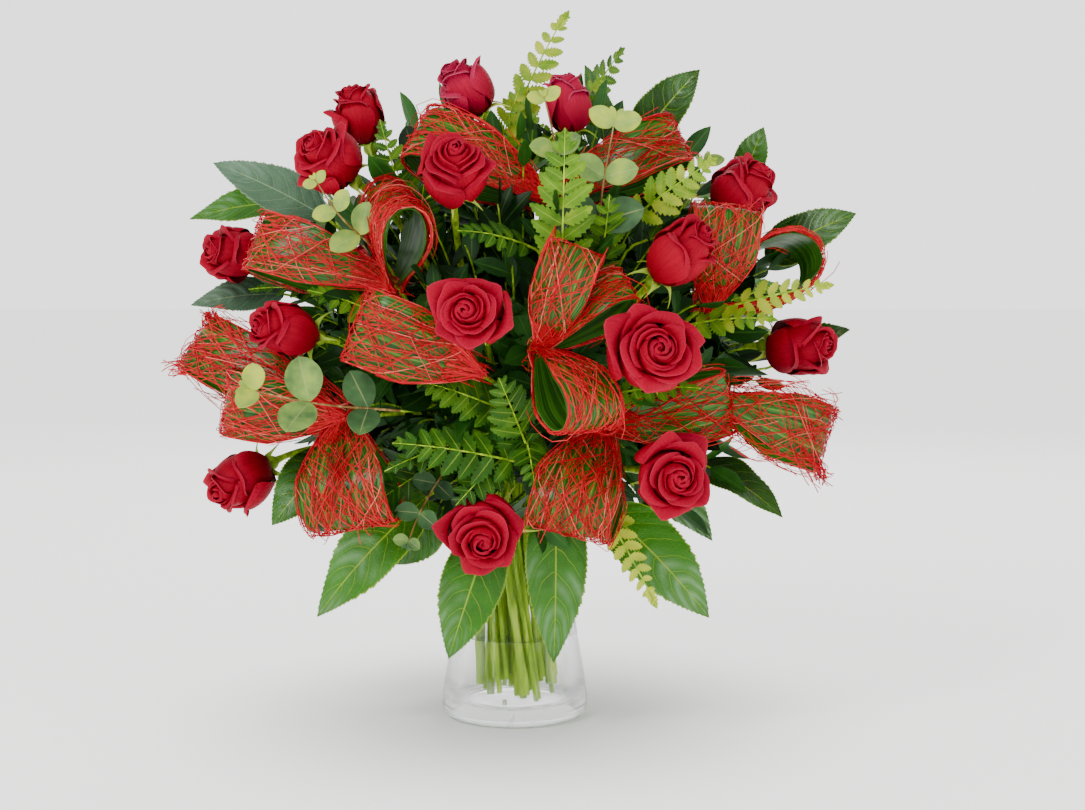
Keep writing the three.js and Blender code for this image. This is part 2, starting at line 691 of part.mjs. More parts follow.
addNode("vase", "glass", solidOf(turned([...outside, ...inside], VASE.facets)));

// ---- Roses ----
// Every stem claims its place in the neck before any of them is drawn.
const number = (i) => String(i + 1).padStart(2, "0");
const cutHeight = (i) => 17 + 5 * ((i * 7) % 4);
const PETAL_TURN = 2.4; // each bloom is turned this much further than the one before it
const roses = ROSES.map((rose, i) => {
  const facing = unit(vec(rose.faces));
  const base = at(vec(rose.place), [facing, -rose.depth / 2]);
  return { ...rose, facing, base, turn: PETAL_TURN * i, neck: claimNeck(base, STEM.radius) };
});
const SPRAYS = [
  ...LEAF_SPRAYS.map((spray) => ({ ...spray, slot: "leaf", makers: leafMakers })),
  ...LOOP_SPRAYS.map((spray) => ({ ...spray, slot: "strap", makers: loopMakers })),
  ...FERN_SPRAYS.map((spray) => ({ ...spray, slot: "fern", makers: frondMakers })),
  ...EUCALYPTUS.map((spray) => ({ ...spray, slot: "eucalyptus", makers: sprigMakers })),
].map((spray) => ({ ...spray, hub: vec(spray.hub), neck: claimNeck(vec(spray.hub), TWIG.radius) }));
settleNeck();

roses.forEach((rose, i) => {
  addNode(`rose_bloom_${number(i)}`, "petal", placed(bloom(rose, rose.turn), rose.base, rose.facing));
  taken.push(placed(bloomRoom(rose), rose.base, rose.facing));
});

roses.forEach((rose, i) => {
  const end = at(rose.base, [rose.facing, 1 - HIP.length]);
  const curve = new StemCurve(rose.neck.spot, cutHeight(i), end, rose.facing);
  const stalk = (grow) => rod(curve, STEM.radius + grow, STEM.sides, STEM.steps);
  addClear(`rose_stem_${number(i)}`, "stem", [stalk, () => placed(calyx(), rose.base, rose.facing)]);
  inWater.push(stalk(GAP));
});

// ---- Foliage ----
const knob = (centre, radius) =>
  solidOf(new THREE.OctahedronGeometry(radius, 0).translate(...centre.toArray()));
const leaning = (hub) => unit(hub.clone().sub(CROWN));

// A side branch that leaves the hub on its way, and arrives in the direction of what it carries.
function branch(hub, end, arriving, radius = BRANCH.radius) {
  const length = hub.distanceTo(end);
  const heading = unit(at(unit(end.clone().sub(hub)), [leaning(hub), 0.35]));
  const curve = new THREE.CubicBezierCurve3(
    hub,
    at(hub, [heading, 0.3 * length]),
    at(end, [arriving, -0.3 * length]),
    at(end, [arriving, 0.5]),
  );
  return (grow) => rod(curve, radius + grow, BRANCH.sides, BRANCH.steps);
}

function leafMakers({ hub, leaves }) {
  return leaves.flatMap((shape) => {
    const root = vec(shape.root);
    const blown = vec(shape.tip).sub(root);
    const arriving = unit(at(blown, [unit(vec(shape.face)), 0.4 * blown.length()]));
    return [(grow) => leaf(shape, grow), branch(hub, root, arriving)];
  });
}

function frondMakers({ hub, fronds }) {
  return fronds.flatMap((shape) => {
    const root = vec(shape.root);
    return [(grow) => frond(shape, grow), branch(hub, root, unit(vec(shape.tip).sub(root)))];
  });
}

// The leaves of a eucalyptus sprig sit in pairs along its stem, smaller towards the tip.
function sprigMakers({ hub, sprigs }) {
  return sprigs.flatMap(({ path, face: faceOf, leaves }) => {
    const curve = new THREE.CatmullRomCurve3(path.map(vec));
    const face = unit(vec(faceOf));
    const stalk = (grow) => rod(curve, 0.75 * BRANCH.radius + grow, BRANCH.sides, 5);
    const pairs = leaves.flatMap((size, i) => {
      const share = 0.2 + (0.75 * i) / Math.max(1, leaves.length - 1);
      const node = curve.getPoint(share);
      const along = curve.getTangent(share);
      const side = unit(cross(along, face));
      return [-1, 1].map((hand) => {
        const root = at(node, [side, 0.1 * hand]);
        const tip = at(node, [side, hand * size], [along, 0.35 * size], [face, 0.25 * size]);
        return (grow) => roundLeaf({ root, tip, face, width: 0.86 * size }, grow);
      });
    });
    return [stalk, branch(hub, curve.getPoint(0), curve.getTangent(0)), ...pairs];
  });
}

const knotLoops = (knot) =>
  knot.loops.map((loop) => ({
    ...loop,
    from: vec(knot.at),
    end: vec(loop.end),
    front: unit(vec(loop.front)),
  }));

function loopMakers({ hub, knots }) {
  return knots.flatMap((knot) => {
    const centre = vec(knot.at);
    const straps = knotLoops(knot).map((loop) => (grow) => strapLoop(loop, grow));
    if (knot.onTip) return straps;
    const outward = unit(centre.clone().sub(HEART));
    return [branch(hub, centre, outward, TWIG.radius), (grow) => knob(centre, KNOB + grow), ...straps];
  });
}

SPRAYS.forEach((spray, i) => {
  const curve = new StemCurve(spray.neck.spot, cutHeight(i), spray.hub, leaning(spray.hub));
  const stalk = (grow) => rod(curve, TWIG.radius + grow, TWIG.sides, TWIG.steps);
  addClear(spray.name, spray.slot, [stalk, (grow) => knob(spray.hub, KNOB + grow), ...spray.makers(spray)]);
  inWater.push(stalk(GAP));
});

// ---- Sisal ----
// The web of a knot's loops meets in a tie in front of them; two knots of one ribbon are joined by a twist.
const RIBBONS = [
  { name: "sisal_centre", spray: "loops_centre", knots: [0, 1] },
  { name: "sisal_low_right", spray: "loops_right", knots: [0, 1] },
  { name: "sisal_high_right", spray: "loops_right", knots: [2] },
  { name: "sisal_top", spray: "loops_top", knots: [0] },
  { name: "sisal_high_left", spray: "loops_left", knots: [0] },
  { name: "sisal_low_left", spray: "loops_left", knots: [1] },
  { name: "sisal_back", spray: "loops_back", knots: [0] },
];
const TIE_REACH = 10;
const TWIST_RADIUS = 1.6;

// The tie stands in front of its knot, on the side away from the loops.
function tieOf(knot) {
  const centre = vec(knot.at);
  const facing = new THREE.Vector3();
  for (const { front, end } of knotLoops(knot)) {
    facing.add(front).addScaledVector(unit(end.clone().sub(centre)), -0.8);
  }
  return at(centre, [unit(facing), TIE_REACH]);
}

for (const ribbon of RIBBONS) {
  const { knots: all } = LOOP_SPRAYS.find(({ name }) => name === ribbon.spray);
  const [knot, next] = ribbon.knots.map((i) => all[i]);
  const tie = tieOf(knot);
  const loops = knotLoops(knot);
  const makers = [
    (grow) => knob(tie, KNOB + grow),
    ...loops.map((loop) => (grow) => webBand(loop, tie, grow)),
  ];
  if (next) {
    // A ribbon that runs on from the far end of a loop starts on that loop's own web.
    const nextTie = next.onTip ? webRows(loops.at(-1))[3].rib : tieOf(next);
    makers.push(...knotLoops(next).map((loop) => (grow) => webBand(loop, nextTie, grow)));
    const twist = new THREE.LineCurve3(tie, nextTie);
    if (!next.onTip) {
      makers.push((grow) => knob(nextTie, KNOB + grow));
      makers.push((grow) => rod(twist, TWIST_RADIUS + grow, 4, 1));
    }
  }
  addClear(ribbon.name, "sisal", makers);
}

// ---- Water ----
// It fills the vase to its level, a little clear of the glass, with a plain hole for every stem.
const fill = inside.filter(([, z]) => z <= WATER.level).map(([r, z]) => [r, z]);
for (const point of fill) {
  if (point[0] > 0) point[0] -= GAP;
  if (point[1] <= VASE.floor + 3) point[1] += GAP;
}
const water = solidOf(turned([...fill.reverse(), [0, WATER.level]], VASE.facets));
addNode("water", "water", largest(inWater.reduce((left, stem) => left.subtract(stem), water)));

export default bouquet;
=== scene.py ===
import math

import bpy
import numpy as np
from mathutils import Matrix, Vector


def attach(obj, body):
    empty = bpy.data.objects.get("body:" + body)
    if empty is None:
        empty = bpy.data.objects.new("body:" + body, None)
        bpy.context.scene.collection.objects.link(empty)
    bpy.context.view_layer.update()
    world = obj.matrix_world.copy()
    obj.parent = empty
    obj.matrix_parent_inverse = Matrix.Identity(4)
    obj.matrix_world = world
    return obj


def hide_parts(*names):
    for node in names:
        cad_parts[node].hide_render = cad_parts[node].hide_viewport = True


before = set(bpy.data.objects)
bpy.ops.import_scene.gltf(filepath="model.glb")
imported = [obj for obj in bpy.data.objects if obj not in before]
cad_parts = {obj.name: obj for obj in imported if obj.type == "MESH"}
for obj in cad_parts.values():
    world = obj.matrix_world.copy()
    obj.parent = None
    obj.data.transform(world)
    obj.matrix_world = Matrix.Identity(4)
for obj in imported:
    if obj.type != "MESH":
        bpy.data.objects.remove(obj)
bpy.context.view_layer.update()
bpy.ops.object.select_all(action="DESELECT")

mm = 0.001
fullTurn = 2 * math.pi
upward = np.array([0.0, 0.0, 1.0])

# The photograph's camera looks at the middle of the flowers from a little above.
viewpoint = {"place": (0.021, -1.4, 0.335), "down": 4.1, "lens": 61.95, "sensor": 36}
tilt = math.radians(90 - viewpoint["down"])
bpy.ops.object.camera_add(location=viewpoint["place"], rotation=(tilt, 0, 0))
camera = bpy.context.active_object
camera.data.lens = viewpoint["lens"]
camera.data.sensor_width = viewpoint["sensor"]
bpy.context.scene.camera = camera
print("camera set")


def vec(values):
    return np.array(values, float)


def unit(v):
    return v / np.linalg.norm(v, axis=-1, keepdims=True)


def lerp(a, b, share):
    return a + (b - a) * share


def ease(value, low=0.0, high=1.0):
    share = np.clip((value - low) / (high - low), 0, 1)
    return share * share * (3 - 2 * share)


def cubic(t, a, b, c, d):
    # A number that follows a cubic Bezier curve.
    s = 1 - t
    return s ** 3 * a + 3 * s * s * t * b + 3 * s * t * t * c + t ** 3 * d


def bezier(points, t):
    # Any number of control points; t may be an array.
    t = np.asarray(t, float)[..., None]
    points = [np.broadcast_to(p, t.shape[:-1] + (3,)) for p in points]
    while len(points) > 1:
        points = [a * (1 - t) + b * t for a, b in zip(points, points[1:])]
    return points[0]


def turnAbout(v, axis, angle):
    c, s = math.cos(angle), math.sin(angle)
    return v * c + np.cross(axis, v) * s + axis * np.dot(v, axis) * (1 - c)


def moved(points, *moves):
    # Each move is a direction and how far each point goes along it.
    for direction, amount in moves:
        points = points + direction * np.asarray(amount)[..., None]
    return points


def titleOf(name, skip=1):
    return "".join(word.title() for word in name.split("_")[skip:])


def flatGrid(across, along):
    # A flat grid, modelled once; u runs -1..1 across it and v 0..1 along it.
    bpy.ops.mesh.primitive_grid_add(x_subdivisions=across, y_subdivisions=along, size=2)
    grid = bpy.context.active_object
    points = np.array([p.co[:2] for p in grid.data.vertices])
    faces = np.array([f.vertices[:] for f in grid.data.polygons])
    bpy.data.objects.remove(grid)
    return points[:, 0], (points[:, 1] + 1) / 2, faces


def tubes(paths, radii, sides):
    # Closed tubes round many paths of equal point count; the radii may vary along each.
    paths = np.asarray(paths, float)
    count, steps = paths.shape[:2]
    radii = np.broadcast_to(np.asarray(radii, float), (count, steps))
    along = unit(np.gradient(paths, axis=1))
    helper = np.where(np.abs(along[:, 0, 2:3]) < 0.9, [[0, 0, 1.0]], [[1.0, 0, 0]])
    side = np.empty_like(paths)
    last = np.cross(along[:, 0], helper)
    for i in range(steps):
        last = unit(last - along[:, i] * np.sum(last * along[:, i], axis=1, keepdims=True))
        side[:, i] = last
    other = np.cross(along, side)
    angle = fullTurn * np.arange(sides) / sides
    ring = np.cos(angle)[:, None] * side[:, :, None] + np.sin(angle)[:, None] * other[:, :, None]
    points = (paths[:, :, None] + radii[..., None, None] * ring).reshape(-1, 3)
    first = (np.arange(count) * steps * sides)[:, None, None]
    row = (np.arange(steps - 1) * sides)[:, None]
    a = first + row + np.arange(sides)
    b = first + row + (np.arange(sides) + 1) % sides
    quads = np.stack([a, b, b + sides, a + sides], axis=-1).reshape(-1, 4)
    fan = np.stack([np.zeros(sides - 2, int), np.arange(2, sides), np.arange(1, sides - 1)], axis=-1)
    finish = first + (steps - 1) * sides + fan[:, ::-1]
    triangles = np.concatenate([(first + fan).reshape(-1, 3), finish.reshape(-1, 3)])
    return points, quads, triangles


def tubePart(paths, radii, sides, tone=0.5, finish=0):
    points, quads, triangles = tubes(paths, radii, sides)
    return {"points": points, "quads": quads, "triangles": triangles, "tone": tone, "finish": finish}


def taperPart(path, thick, thin, sides, finish=0):
    return tubePart([path], [np.linspace(thick, thin, len(path))], sides, finish=finish)


def sheetPart(grid, points, tone=0.5, finish=0):
    u, v, faces = grid
    uv = np.stack([(u + 1) / 2, v], axis=-1)
    return {"points": points, "quads": faces, "uv": uv, "tone": tone, "finish": finish}


def selectOnly(piece):
    bpy.ops.object.select_all(action="DESELECT")
    piece.select_set(True)
    bpy.context.view_layer.objects.active = piece


def finishPiece(piece, smooth, nodes):
    selectOnly(piece)
    bpy.ops.object.shade_smooth_by_angle(angle=math.radians(smooth))
    piece.select_set(False)
    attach(piece, "root")
    if nodes:
        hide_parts(*nodes)


def makePiece(name, parts, finishes, nodes=(), thickness=0.0, smooth=50):
    # Each part is a dict of points in mm and faces, with its uv, its tone and the number of its finish.
    counts = [len(part["points"]) for part in parts]
    starts = np.cumsum([0] + counts)
    points = np.concatenate([part["points"] for part in parts]) * mm
    uvs = np.concatenate([part.get("uv", np.zeros((count, 2))) for part, count in zip(parts, counts)])
    tones = [np.broadcast_to(part["tone"], (count,)) for part, count in zip(parts, counts)]
    loops, sizes, kinds = [], [], []
    for key in ("quads", "triangles"):
        for part, start in zip(parts, starts):
            if key in part:
                faces = np.asarray(part[key])
                loops.append((faces + start).ravel())
                sizes.append(np.full(len(faces), faces.shape[1]))
                kinds.append(np.full(len(faces), part["finish"]))
    loops, sizes, kinds = (np.concatenate(values) for values in (loops, sizes, kinds))
    mesh = bpy.data.meshes.new(name)
    mesh.vertices.add(len(points))
    mesh.vertices.foreach_set("co", points.ravel())
    mesh.loops.add(len(loops))
    mesh.loops.foreach_set("vertex_index", loops)
    mesh.polygons.add(len(sizes))
    mesh.polygons.foreach_set("loop_start", np.concatenate([[0], np.cumsum(sizes)[:-1]]))
    mesh.polygons.foreach_set("material_index", kinds)
    mesh.update(calc_edges=True)
    mesh.uv_layers.new(name="UVMap").uv.foreach_set("vector", uvs[loops].ravel())
    tone = mesh.attributes.new("tone", "FLOAT", "POINT")
    tone.data.foreach_set("value", np.concatenate(tones).astype(float))
    for finish in finishes:
        mesh.materials.append(finish)
    piece = bpy.data.objects.new(name, mesh)
    bpy.context.collection.objects.link(piece)
    if thickness:
        selectOnly(piece)
        wall = piece.modifiers.new("Solidify", "SOLIDIFY")
        wall.thickness = thickness * mm
        wall.offset = 0.0
        bpy.ops.object.modifier_apply(modifier=wall.name)
    finishPiece(piece, smooth, nodes)


def linear(code):
    # An sRGB hex value as linear colour.
    parts = [int(code[i:i + 2], 16) / 255 for i in (1, 3, 5)]
    return [p / 12.92 if p <= 0.04045 else ((p + 0.055) / 1.055) ** 2.4 for p in parts] + [1.0]


def addNode(material, kind, inputs=(), ramp=(), **settings):
    # Inputs come in a row from the first socket, or by name or number. Gives back the node's outputs.
    node = material.node_tree.nodes.new("ShaderNode" + kind)
    for name, value in settings.items():
        setattr(node, name, value)
    if ramp:
        while len(node.color_ramp.elements) < len(ramp):
            node.color_ramp.elements.new(0.5)
        for element, (place, code) in zip(node.color_ramp.elements, ramp):
            element.position = place
            element.color = linear(code)
    for name, value in (inputs.items() if isinstance(inputs, dict) else enumerate(inputs)):
        if isinstance(value, bpy.types.NodeSocket):
            material.node_tree.links.new(value, node.inputs[name])
        else:
            node.inputs[name].default_value = linear(value) if isinstance(value, str) else value
    return node.outputs


patternSources = {"uv": ("UVMap", {"uv_map": "UVMap"}, 0), "spot": ("TexCoord", {}, "Object"),
                  "tone": ("Attribute", {"attribute_name": "tone"}, "Fac")}


def newMaterial(name, *reads):
    # An empty material, with a socket for each thing that its pattern reads.
    material = bpy.data.materials.new(name)
    material.use_nodes = True
    material.node_tree.nodes.clear()
    sockets = []
    for kind, settings, output in (patternSources[read] for read in reads):
        sockets.append(addNode(material, kind, **settings)[output])
    return [material, *sockets]


def finishMaterial(material, inputs):
    addNode(material, "OutputMaterial", [addNode(material, "BsdfPrincipled", inputs)[0]])
    return material


# Rose petal: a living, velvety skin of tiny domed cells, so it scatters softly, glows at grazing angles
# and shows fine ribs that run to the lip, with a paler line along the lip. Its colour is painted shade
# low in the cup and on the outer side, and painted light on the lip.
# The first two colours are painted shade, low in the cup and on the petals' outer side; the bright colour
# is painted light on the lip; edge is a paler line along the lip.
petalLook = {"deep": "#740010", "side": "#980020", "face": "#940021", "bright": "#9a0026",
             "edge": "#b43048", "sheen": "#ff4060"}
pinkLook = {**petalLook, "side": "#9e0c30", "face": "#a41442", "bright": "#a42444", "edge": "#c86c80"}


def makePetal(name, look):
    m, uv, tone = newMaterial(name, "uv", "tone")
    height = addNode(m, "SeparateXYZ", [uv])[1]
    # painted shade darkest at the petal's base, painted light toward the lip
    body = addNode(m, "ValToRGB", [height], [
        (0.0, look["deep"]), (0.42, look["side"]), (0.72, look["face"]), (1.0, look["bright"])])[0]
    ribUv = addNode(m, "Mapping", {0: uv, 3: (22.0, 1.6, 1.0)})[0]
    ribs = addNode(m, "TexNoise", {"Vector": ribUv, "Scale": 2.0, "Detail": 4.0})[0]
    ribShade = addNode(m, "MapRange", (ribs, 0.3, 0.75, 0.82, 1.12))[0]
    toneShade = addNode(m, "MapRange", (tone, 0, 1, 0.82, 1.1))[0]
    both = addNode(m, "Math", (ribShade, toneShade), operation="MULTIPLY")[0]
    shaded = addNode(m, "Mix", {0: 1.0, 6: body, 7: both}, data_type="RGBA", blend_type="MULTIPLY")[2]
    lip = addNode(m, "MapRange", (height, 0.965, 1, 0, 0.4))[0]
    colour = addNode(m, "Mix", {0: lip, 6: shaded, 7: look["edge"]}, data_type="RGBA")[2]
    bump = addNode(m, "Bump", {"Strength": 0.4, "Distance": 0.0012, "Height": ribs})[0]
    return finishMaterial(m, {
        "Base Color": colour, "Normal": bump, "Roughness": 0.55, "IOR": 1.35,
        "Specular IOR Level": 0.12, "Sheen Weight": 0.03, "Sheen Roughness": 0.4,
        "Sheen Tint": look["sheen"]})


def leafPlace(m, uv):
    # How far a point of a leaf is from its midrib, 0 to 1, and how far along it.
    u, v, _ = addNode(m, "SeparateXYZ", [uv])
    centred = addNode(m, "MapRange", (u, 0, 1, -1, 1))[0]
    return addNode(m, "Math", [centred], operation="ABSOLUTE")[0], v


# Broad leaf: a waxed, glossy blade with pale yellow-green veins that arch to a toothed edge.
leafLook = {"veins": 7.0, "arch": 1.4, "sweep": 1.7, "waver": 0.09}


# bloom is the pale colour of the painted gloss highlights
def makeLeaf(name, dark, light, vein, bloom, roughness, coat):
    m, uv, tone, spot = newMaterial(name, "uv", "tone", "spot")
    across, along = leafPlace(m, uv)
    # gap is how far a point is from the nearest side vein
    waver = addNode(m, "TexNoise", {"Vector": uv, "Scale": 3.0, "Detail": 1.0})[0]
    bent = addNode(m, "Math", (waver, leafLook["waver"], along), operation="MULTIPLY_ADD")[0]
    run = addNode(m, "Math", (bent, leafLook["veins"]), operation="MULTIPLY")[0]
    arch = addNode(m, "Math", (across, leafLook["arch"]), operation="POWER")[0]
    swept = addNode(m, "Math", (arch, -leafLook["sweep"], run), operation="MULTIPLY_ADD")[0]
    cycle = addNode(m, "Math", [swept], operation="FRACT")[0]
    off = addNode(m, "Math", (cycle, 0.5), operation="SUBTRACT")[0]
    gap = addNode(m, "Math", [off], operation="ABSOLUTE")[0]
    lateral, fade, midrib, edge = (addNode(m, "MapRange", values)[0] for values in (
        (gap, 0.006, 0.03, 0.65, 0), (across, 0.55, 0.95, 1, 0.15),
        (across, 0.012, 0.036, 1, 0), (across, 0.94, 0.99, 0, 0.85)))
    lines = addNode(m, "Math", (lateral, fade), operation="MULTIPLY")[0]
    for line in (midrib, edge):
        lines = addNode(m, "Math", (lines, line), operation="MAXIMUM")[0]
    # a net of fine veins between them
    netUv = addNode(m, "Mapping", {0: uv, 3: (16.0, 30.0, 1.0)})[0]
    net = addNode(m, "TexVoronoi", {"Vector": netUv, "Scale": 1.0}, feature="DISTANCE_TO_EDGE")[0]
    netLine = addNode(m, "MapRange", (net, 0, 0.09, 0.09, 0))[0]
    # the blade is lighter in clouds and toward its tip
    cloud = addNode(m, "TexNoise", {"Vector": spot, "Scale": 45.0, "Detail": 3.0})[0]
    cloudTone = addNode(m, "Math", (tone, cloud), operation="ADD")[0]
    tipTone = addNode(m, "Math", (along, 0.45, cloudTone), operation="MULTIPLY_ADD")[0]
    lightness = addNode(m, "MapRange", (tipTone, 0.65, 1.6, 0, 1))[0]
    # painted gloss highlights lie in patches, most toward the tip and on the skin that puffs up between
    # the veins
    glossPatchNoise = addNode(m, "TexNoise", {"Vector": spot, "Scale": 24.0, "Detail": 3.0})[0]
    tipGlossNoise = addNode(m, "Math", (along, 0.4, glossPatchNoise), operation="MULTIPLY_ADD")[0]
    glossPatchMask = addNode(m, "MapRange", (tipGlossNoise, 0.62, 1, 0, 0.5), interpolation_type="SMOOTHSTEP")[0]
    puffed = addNode(m, "MapRange", (gap, 0.1, 0.5, 0.2, 1))[0]
    paintedGloss = addNode(m, "Math", (glossPatchMask, puffed), operation="MULTIPLY")[0]
    colour = dark
    for share, layer in ((lightness, light), (paintedGloss, bloom), (netLine, vein), (lines, vein)):
        colour = addNode(m, "Mix", {0: share, 6: colour, 7: layer}, data_type="RGBA")[2]
    quilt = addNode(m, "MapRange", (gap, 0, 0.5, 1.6, 0), interpolation_type="SMOOTHSTEP")[0]
    height = addNode(m, "Math", (netLine, 4, quilt), operation="MULTIPLY_ADD")[0]
    bump = addNode(m, "Bump", {"Strength": 0.8, "Distance": 0.0006, "Height": height}, invert=True)[0]
    return finishMaterial(m, {
        "Base Color": colour, "Normal": bump, "Roughness": roughness, "IOR": 1.45,
        "Specular IOR Level": 0.2, "Coat Weight": coat, "Coat Roughness": 0.14})


def makeStreaked(name, read, stretch, detail, strength, ramp, finish):
    m, place = newMaterial(name, read)
    stretched = addNode(m, "Mapping", {0: place, 3: stretch})[0]
    streaks = addNode(m, "TexNoise", {"Vector": stretched, "Scale": 1.0, "Detail": detail})[0]
    colour = addNode(m, "ValToRGB", [streaks], ramp)[0]
    bump = addNode(m, "Bump", {"Strength": strength, "Distance": 0.0005, "Height": streaks})[0]
    return finishMaterial(m, {
        "Base Color": colour, "Normal": bump, "IOR": 1.45, "Specular IOR Level": 0.25, **finish})


# Strap leaf: tough and waxed, ribbed lengthwise with pale lines between darker furrows.
def makeStrap(name, ramp):
    return makeStreaked(name, "uv", (26.0, 0.6, 1.0), 5.0, 0.4, ramp,
                        {"Roughness": 0.3, "Coat Weight": 0.08, "Coat Roughness": 0.2})


# Stem: smooth green bark, streaked lengthwise and paler where it was stripped.
def makeBark(name, ramp):
    return makeStreaked(name, "spot", (260.0, 260.0, 28.0), 4.0, 0.3, ramp, {"Roughness": 0.45})


def variedColour(m, tone, spot, scale, detail, vary, ramp):
    # The tone of a leaf or strand picks its colour, and varies a little over it.
    cloud = addNode(m, "TexNoise", {"Vector": spot, "Scale": scale, "Detail": detail})[0]
    varied = addNode(m, "MapRange", (cloud, 0.3, 0.7, -vary, vary))[0]
    place = addNode(m, "Math", (tone, varied), operation="ADD")[0]
    return addNode(m, "ValToRGB", [place], ramp)[0], cloud


# Small foliage: one soft blade colour that shifts from plant to plant, with a paler rib.
def makeFoliage(name, ramp, rib, roughness, ribWidth=0.1, vary=0.12):
    m, uv, tone, spot = newMaterial(name, "uv", "tone", "spot")
    blade, cloud = variedColour(m, tone, spot, 90.0, 3.0, vary, ramp)
    line = addNode(m, "MapRange", (leafPlace(m, uv)[0], ribWidth / 3, ribWidth, 0.4, 0))[0]
    colour = addNode(m, "Mix", {0: line, 6: blade, 7: rib}, data_type="RGBA")[2]
    bump = addNode(m, "Bump", {"Strength": 0.35, "Distance": 0.0005, "Height": cloud})[0]
    return finishMaterial(m, {
        "Base Color": colour, "Normal": bump, "Roughness": roughness, "IOR": 1.45,
        "Specular IOR Level": 0.2})


# Sisal: dyed, combed plant fibre, each strand a little different in how it took the dye.
def makeSisal(name, ramp):
    m, tone, spot = newMaterial(name, "tone", "spot")
    colour, _ = variedColour(m, tone, spot, 300.0, 2.0, 0.08, ramp)
    return finishMaterial(m, {
        "Base Color": colour, "Roughness": 0.6, "IOR": 1.4, "Specular IOR Level": 0.15})


# Clear pressed glass, and still water: seen straight through face on, and solid at the outline of each
# form, with a breath of green and a slight wave of the surface. Toward the outline the colour turns dark:
# a painted reflection.
def makeClear(name, tint, edge, ior, ripple, scale, thin, foot, solid):
    m, spot = newMaterial(name, "spot")
    wave = addNode(m, "TexNoise", {"Vector": spot, "Scale": scale, "Detail": 2.0})[0]
    shade = addNode(m, "ValToRGB", [wave], [(0.3, tint), (0.7, "#ffffff")])[0]
    bump = addNode(m, "Bump", {"Strength": ripple, "Distance": 0.001, "Height": wave})[0]
    facing = addNode(m, "LayerWeight", {"Blend": 0.4})["Facing"]
    height = addNode(m, "SeparateXYZ", [spot])[2]
    thick = addNode(m, "MapRange", (height, 0.002, 0.022, foot, thin))[0]
    body = addNode(m, "MapRange", (facing, 0.3, 0.8, thick, solid))[0]
    # painted reflection: the colour turns dark at grazing angles, for the dark outline along the glass's
    # edges
    paintedDarkEdge = addNode(m, "MapRange", (facing, 0.3, 0.85, 0, 1))[0]
    colour = addNode(m, "Mix", {0: paintedDarkEdge, 6: shade, 7: edge}, data_type="RGBA")[2]
    return finishMaterial(m, {
        "Base Color": colour, "Normal": bump, "Alpha": body, "Roughness": 0.01, "IOR": ior,
        "Transmission Weight": 1.0})


petalRed = makePetal("velvetRosePetal", petalLook)
petalPink = makePetal("velvetRosePetalPink", pinkLook)
# the fourth colour of each broad leaf is the pale colour of its painted gloss highlights
leafGreen = makeLeaf("waxedBroadLeaf", "#082602", "#2e6c08", "#86a41c", "#90b888", 0.34, 0.08)
leafGrey = makeLeaf("greyGreenLeaf", "#2c4a34", "#56765a", "#7c946c", "#86a08c", 0.5, 0.0)
fernGreen = makeFoliage("fernLeaflet", [
    (0.0, "#123004"), (0.35, "#285408"), (0.7, "#5e8812"), (1.0, "#acb82c")], "#a0b840", 0.5)
eucalyptusGreen = makeFoliage("waxyEucalyptus", [
    (0.0, "#1e3822"), (0.4, "#406238"), (0.7, "#7c9c48"), (1.0, "#b2c03c")], "#a8ac70", 0.55, 0.06, 0.15)
fillerGreen = makeFoliage("darkFillerLeaf", [
    (0.0, "#081c05"), (0.5, "#143c0c"), (1.0, "#2c641a")], "#4c7c2c", 0.45)
calyxGreen = makeFoliage("calyxSkin", [
    (0.0, "#5c841a"), (0.5, "#88a828"), (1.0, "#b8c84c")], "#e2e6a0", 0.5)
sisalRed = makeSisal("dyedSisal", [
    (0.0, "#54040c"), (0.2, "#92081a"), (0.55, "#be0c20"), (0.8, "#cc2228"), (0.97, "#dc7060")])
strapGreen = makeStrap("waxedStrapLeaf", [
    (0.3, "#10300a"), (0.48, "#265a10"), (0.6, "#447a1c"), (0.74, "#7e9a3c")])
barkGreen = makeBark("greenRoseBark", [
    (0.3, "#5c7e0c"), (0.5, "#86ae16"), (0.62, "#a6c82c"), (0.75, "#c4d05a")])
barkBrown = makeBark("brownTwigBark", [
    (0.3, "#5c3c1c"), (0.5, "#7c5c2c"), (0.62, "#94784a"), (0.75, "#a89a5c")])
# the third colour is the painted dark reflection along the outline
clearGlass = makeClear("clearPressedGlass", "#d2e0d8", "#26342e", 1.46, 0.06, 40.0, 0.10, 0.45, 0.98)
clearWater = makeClear("stillWater", "#c0d2c6", "#3a4c42", 1.333, 0.04, 25.0, 0.06, 0.06, 0.95)
print("materials made")

# How the stems pass the neck of the vase and stand in it.
neck = {"height": 125, "floor": 11, "spread": 32, "fan": 118, "room": 37.5, "gap": 1.9, "spiral": 28,
        "floorSpread": 1.2, "rounds": 300}
heart = vec((5, 0, 235))
crown = vec((5, 0, 150))
roseStem = {"radius": 2.6, "cut": 17, "stagger": 5, "rise": 0.36, "steep": 68, "lowBloom": 215,
            "arrive": 0.34, "joint": 9, "swell": 0.24, "ends": (2.4, 2.7, 3.2), "thorns": 5, "thorn": 6}
twig = {"radius": 1.7, "top": 1.9, "tip": 1.5, "out": 0.35, "bend": 0.3, "steps": 14}

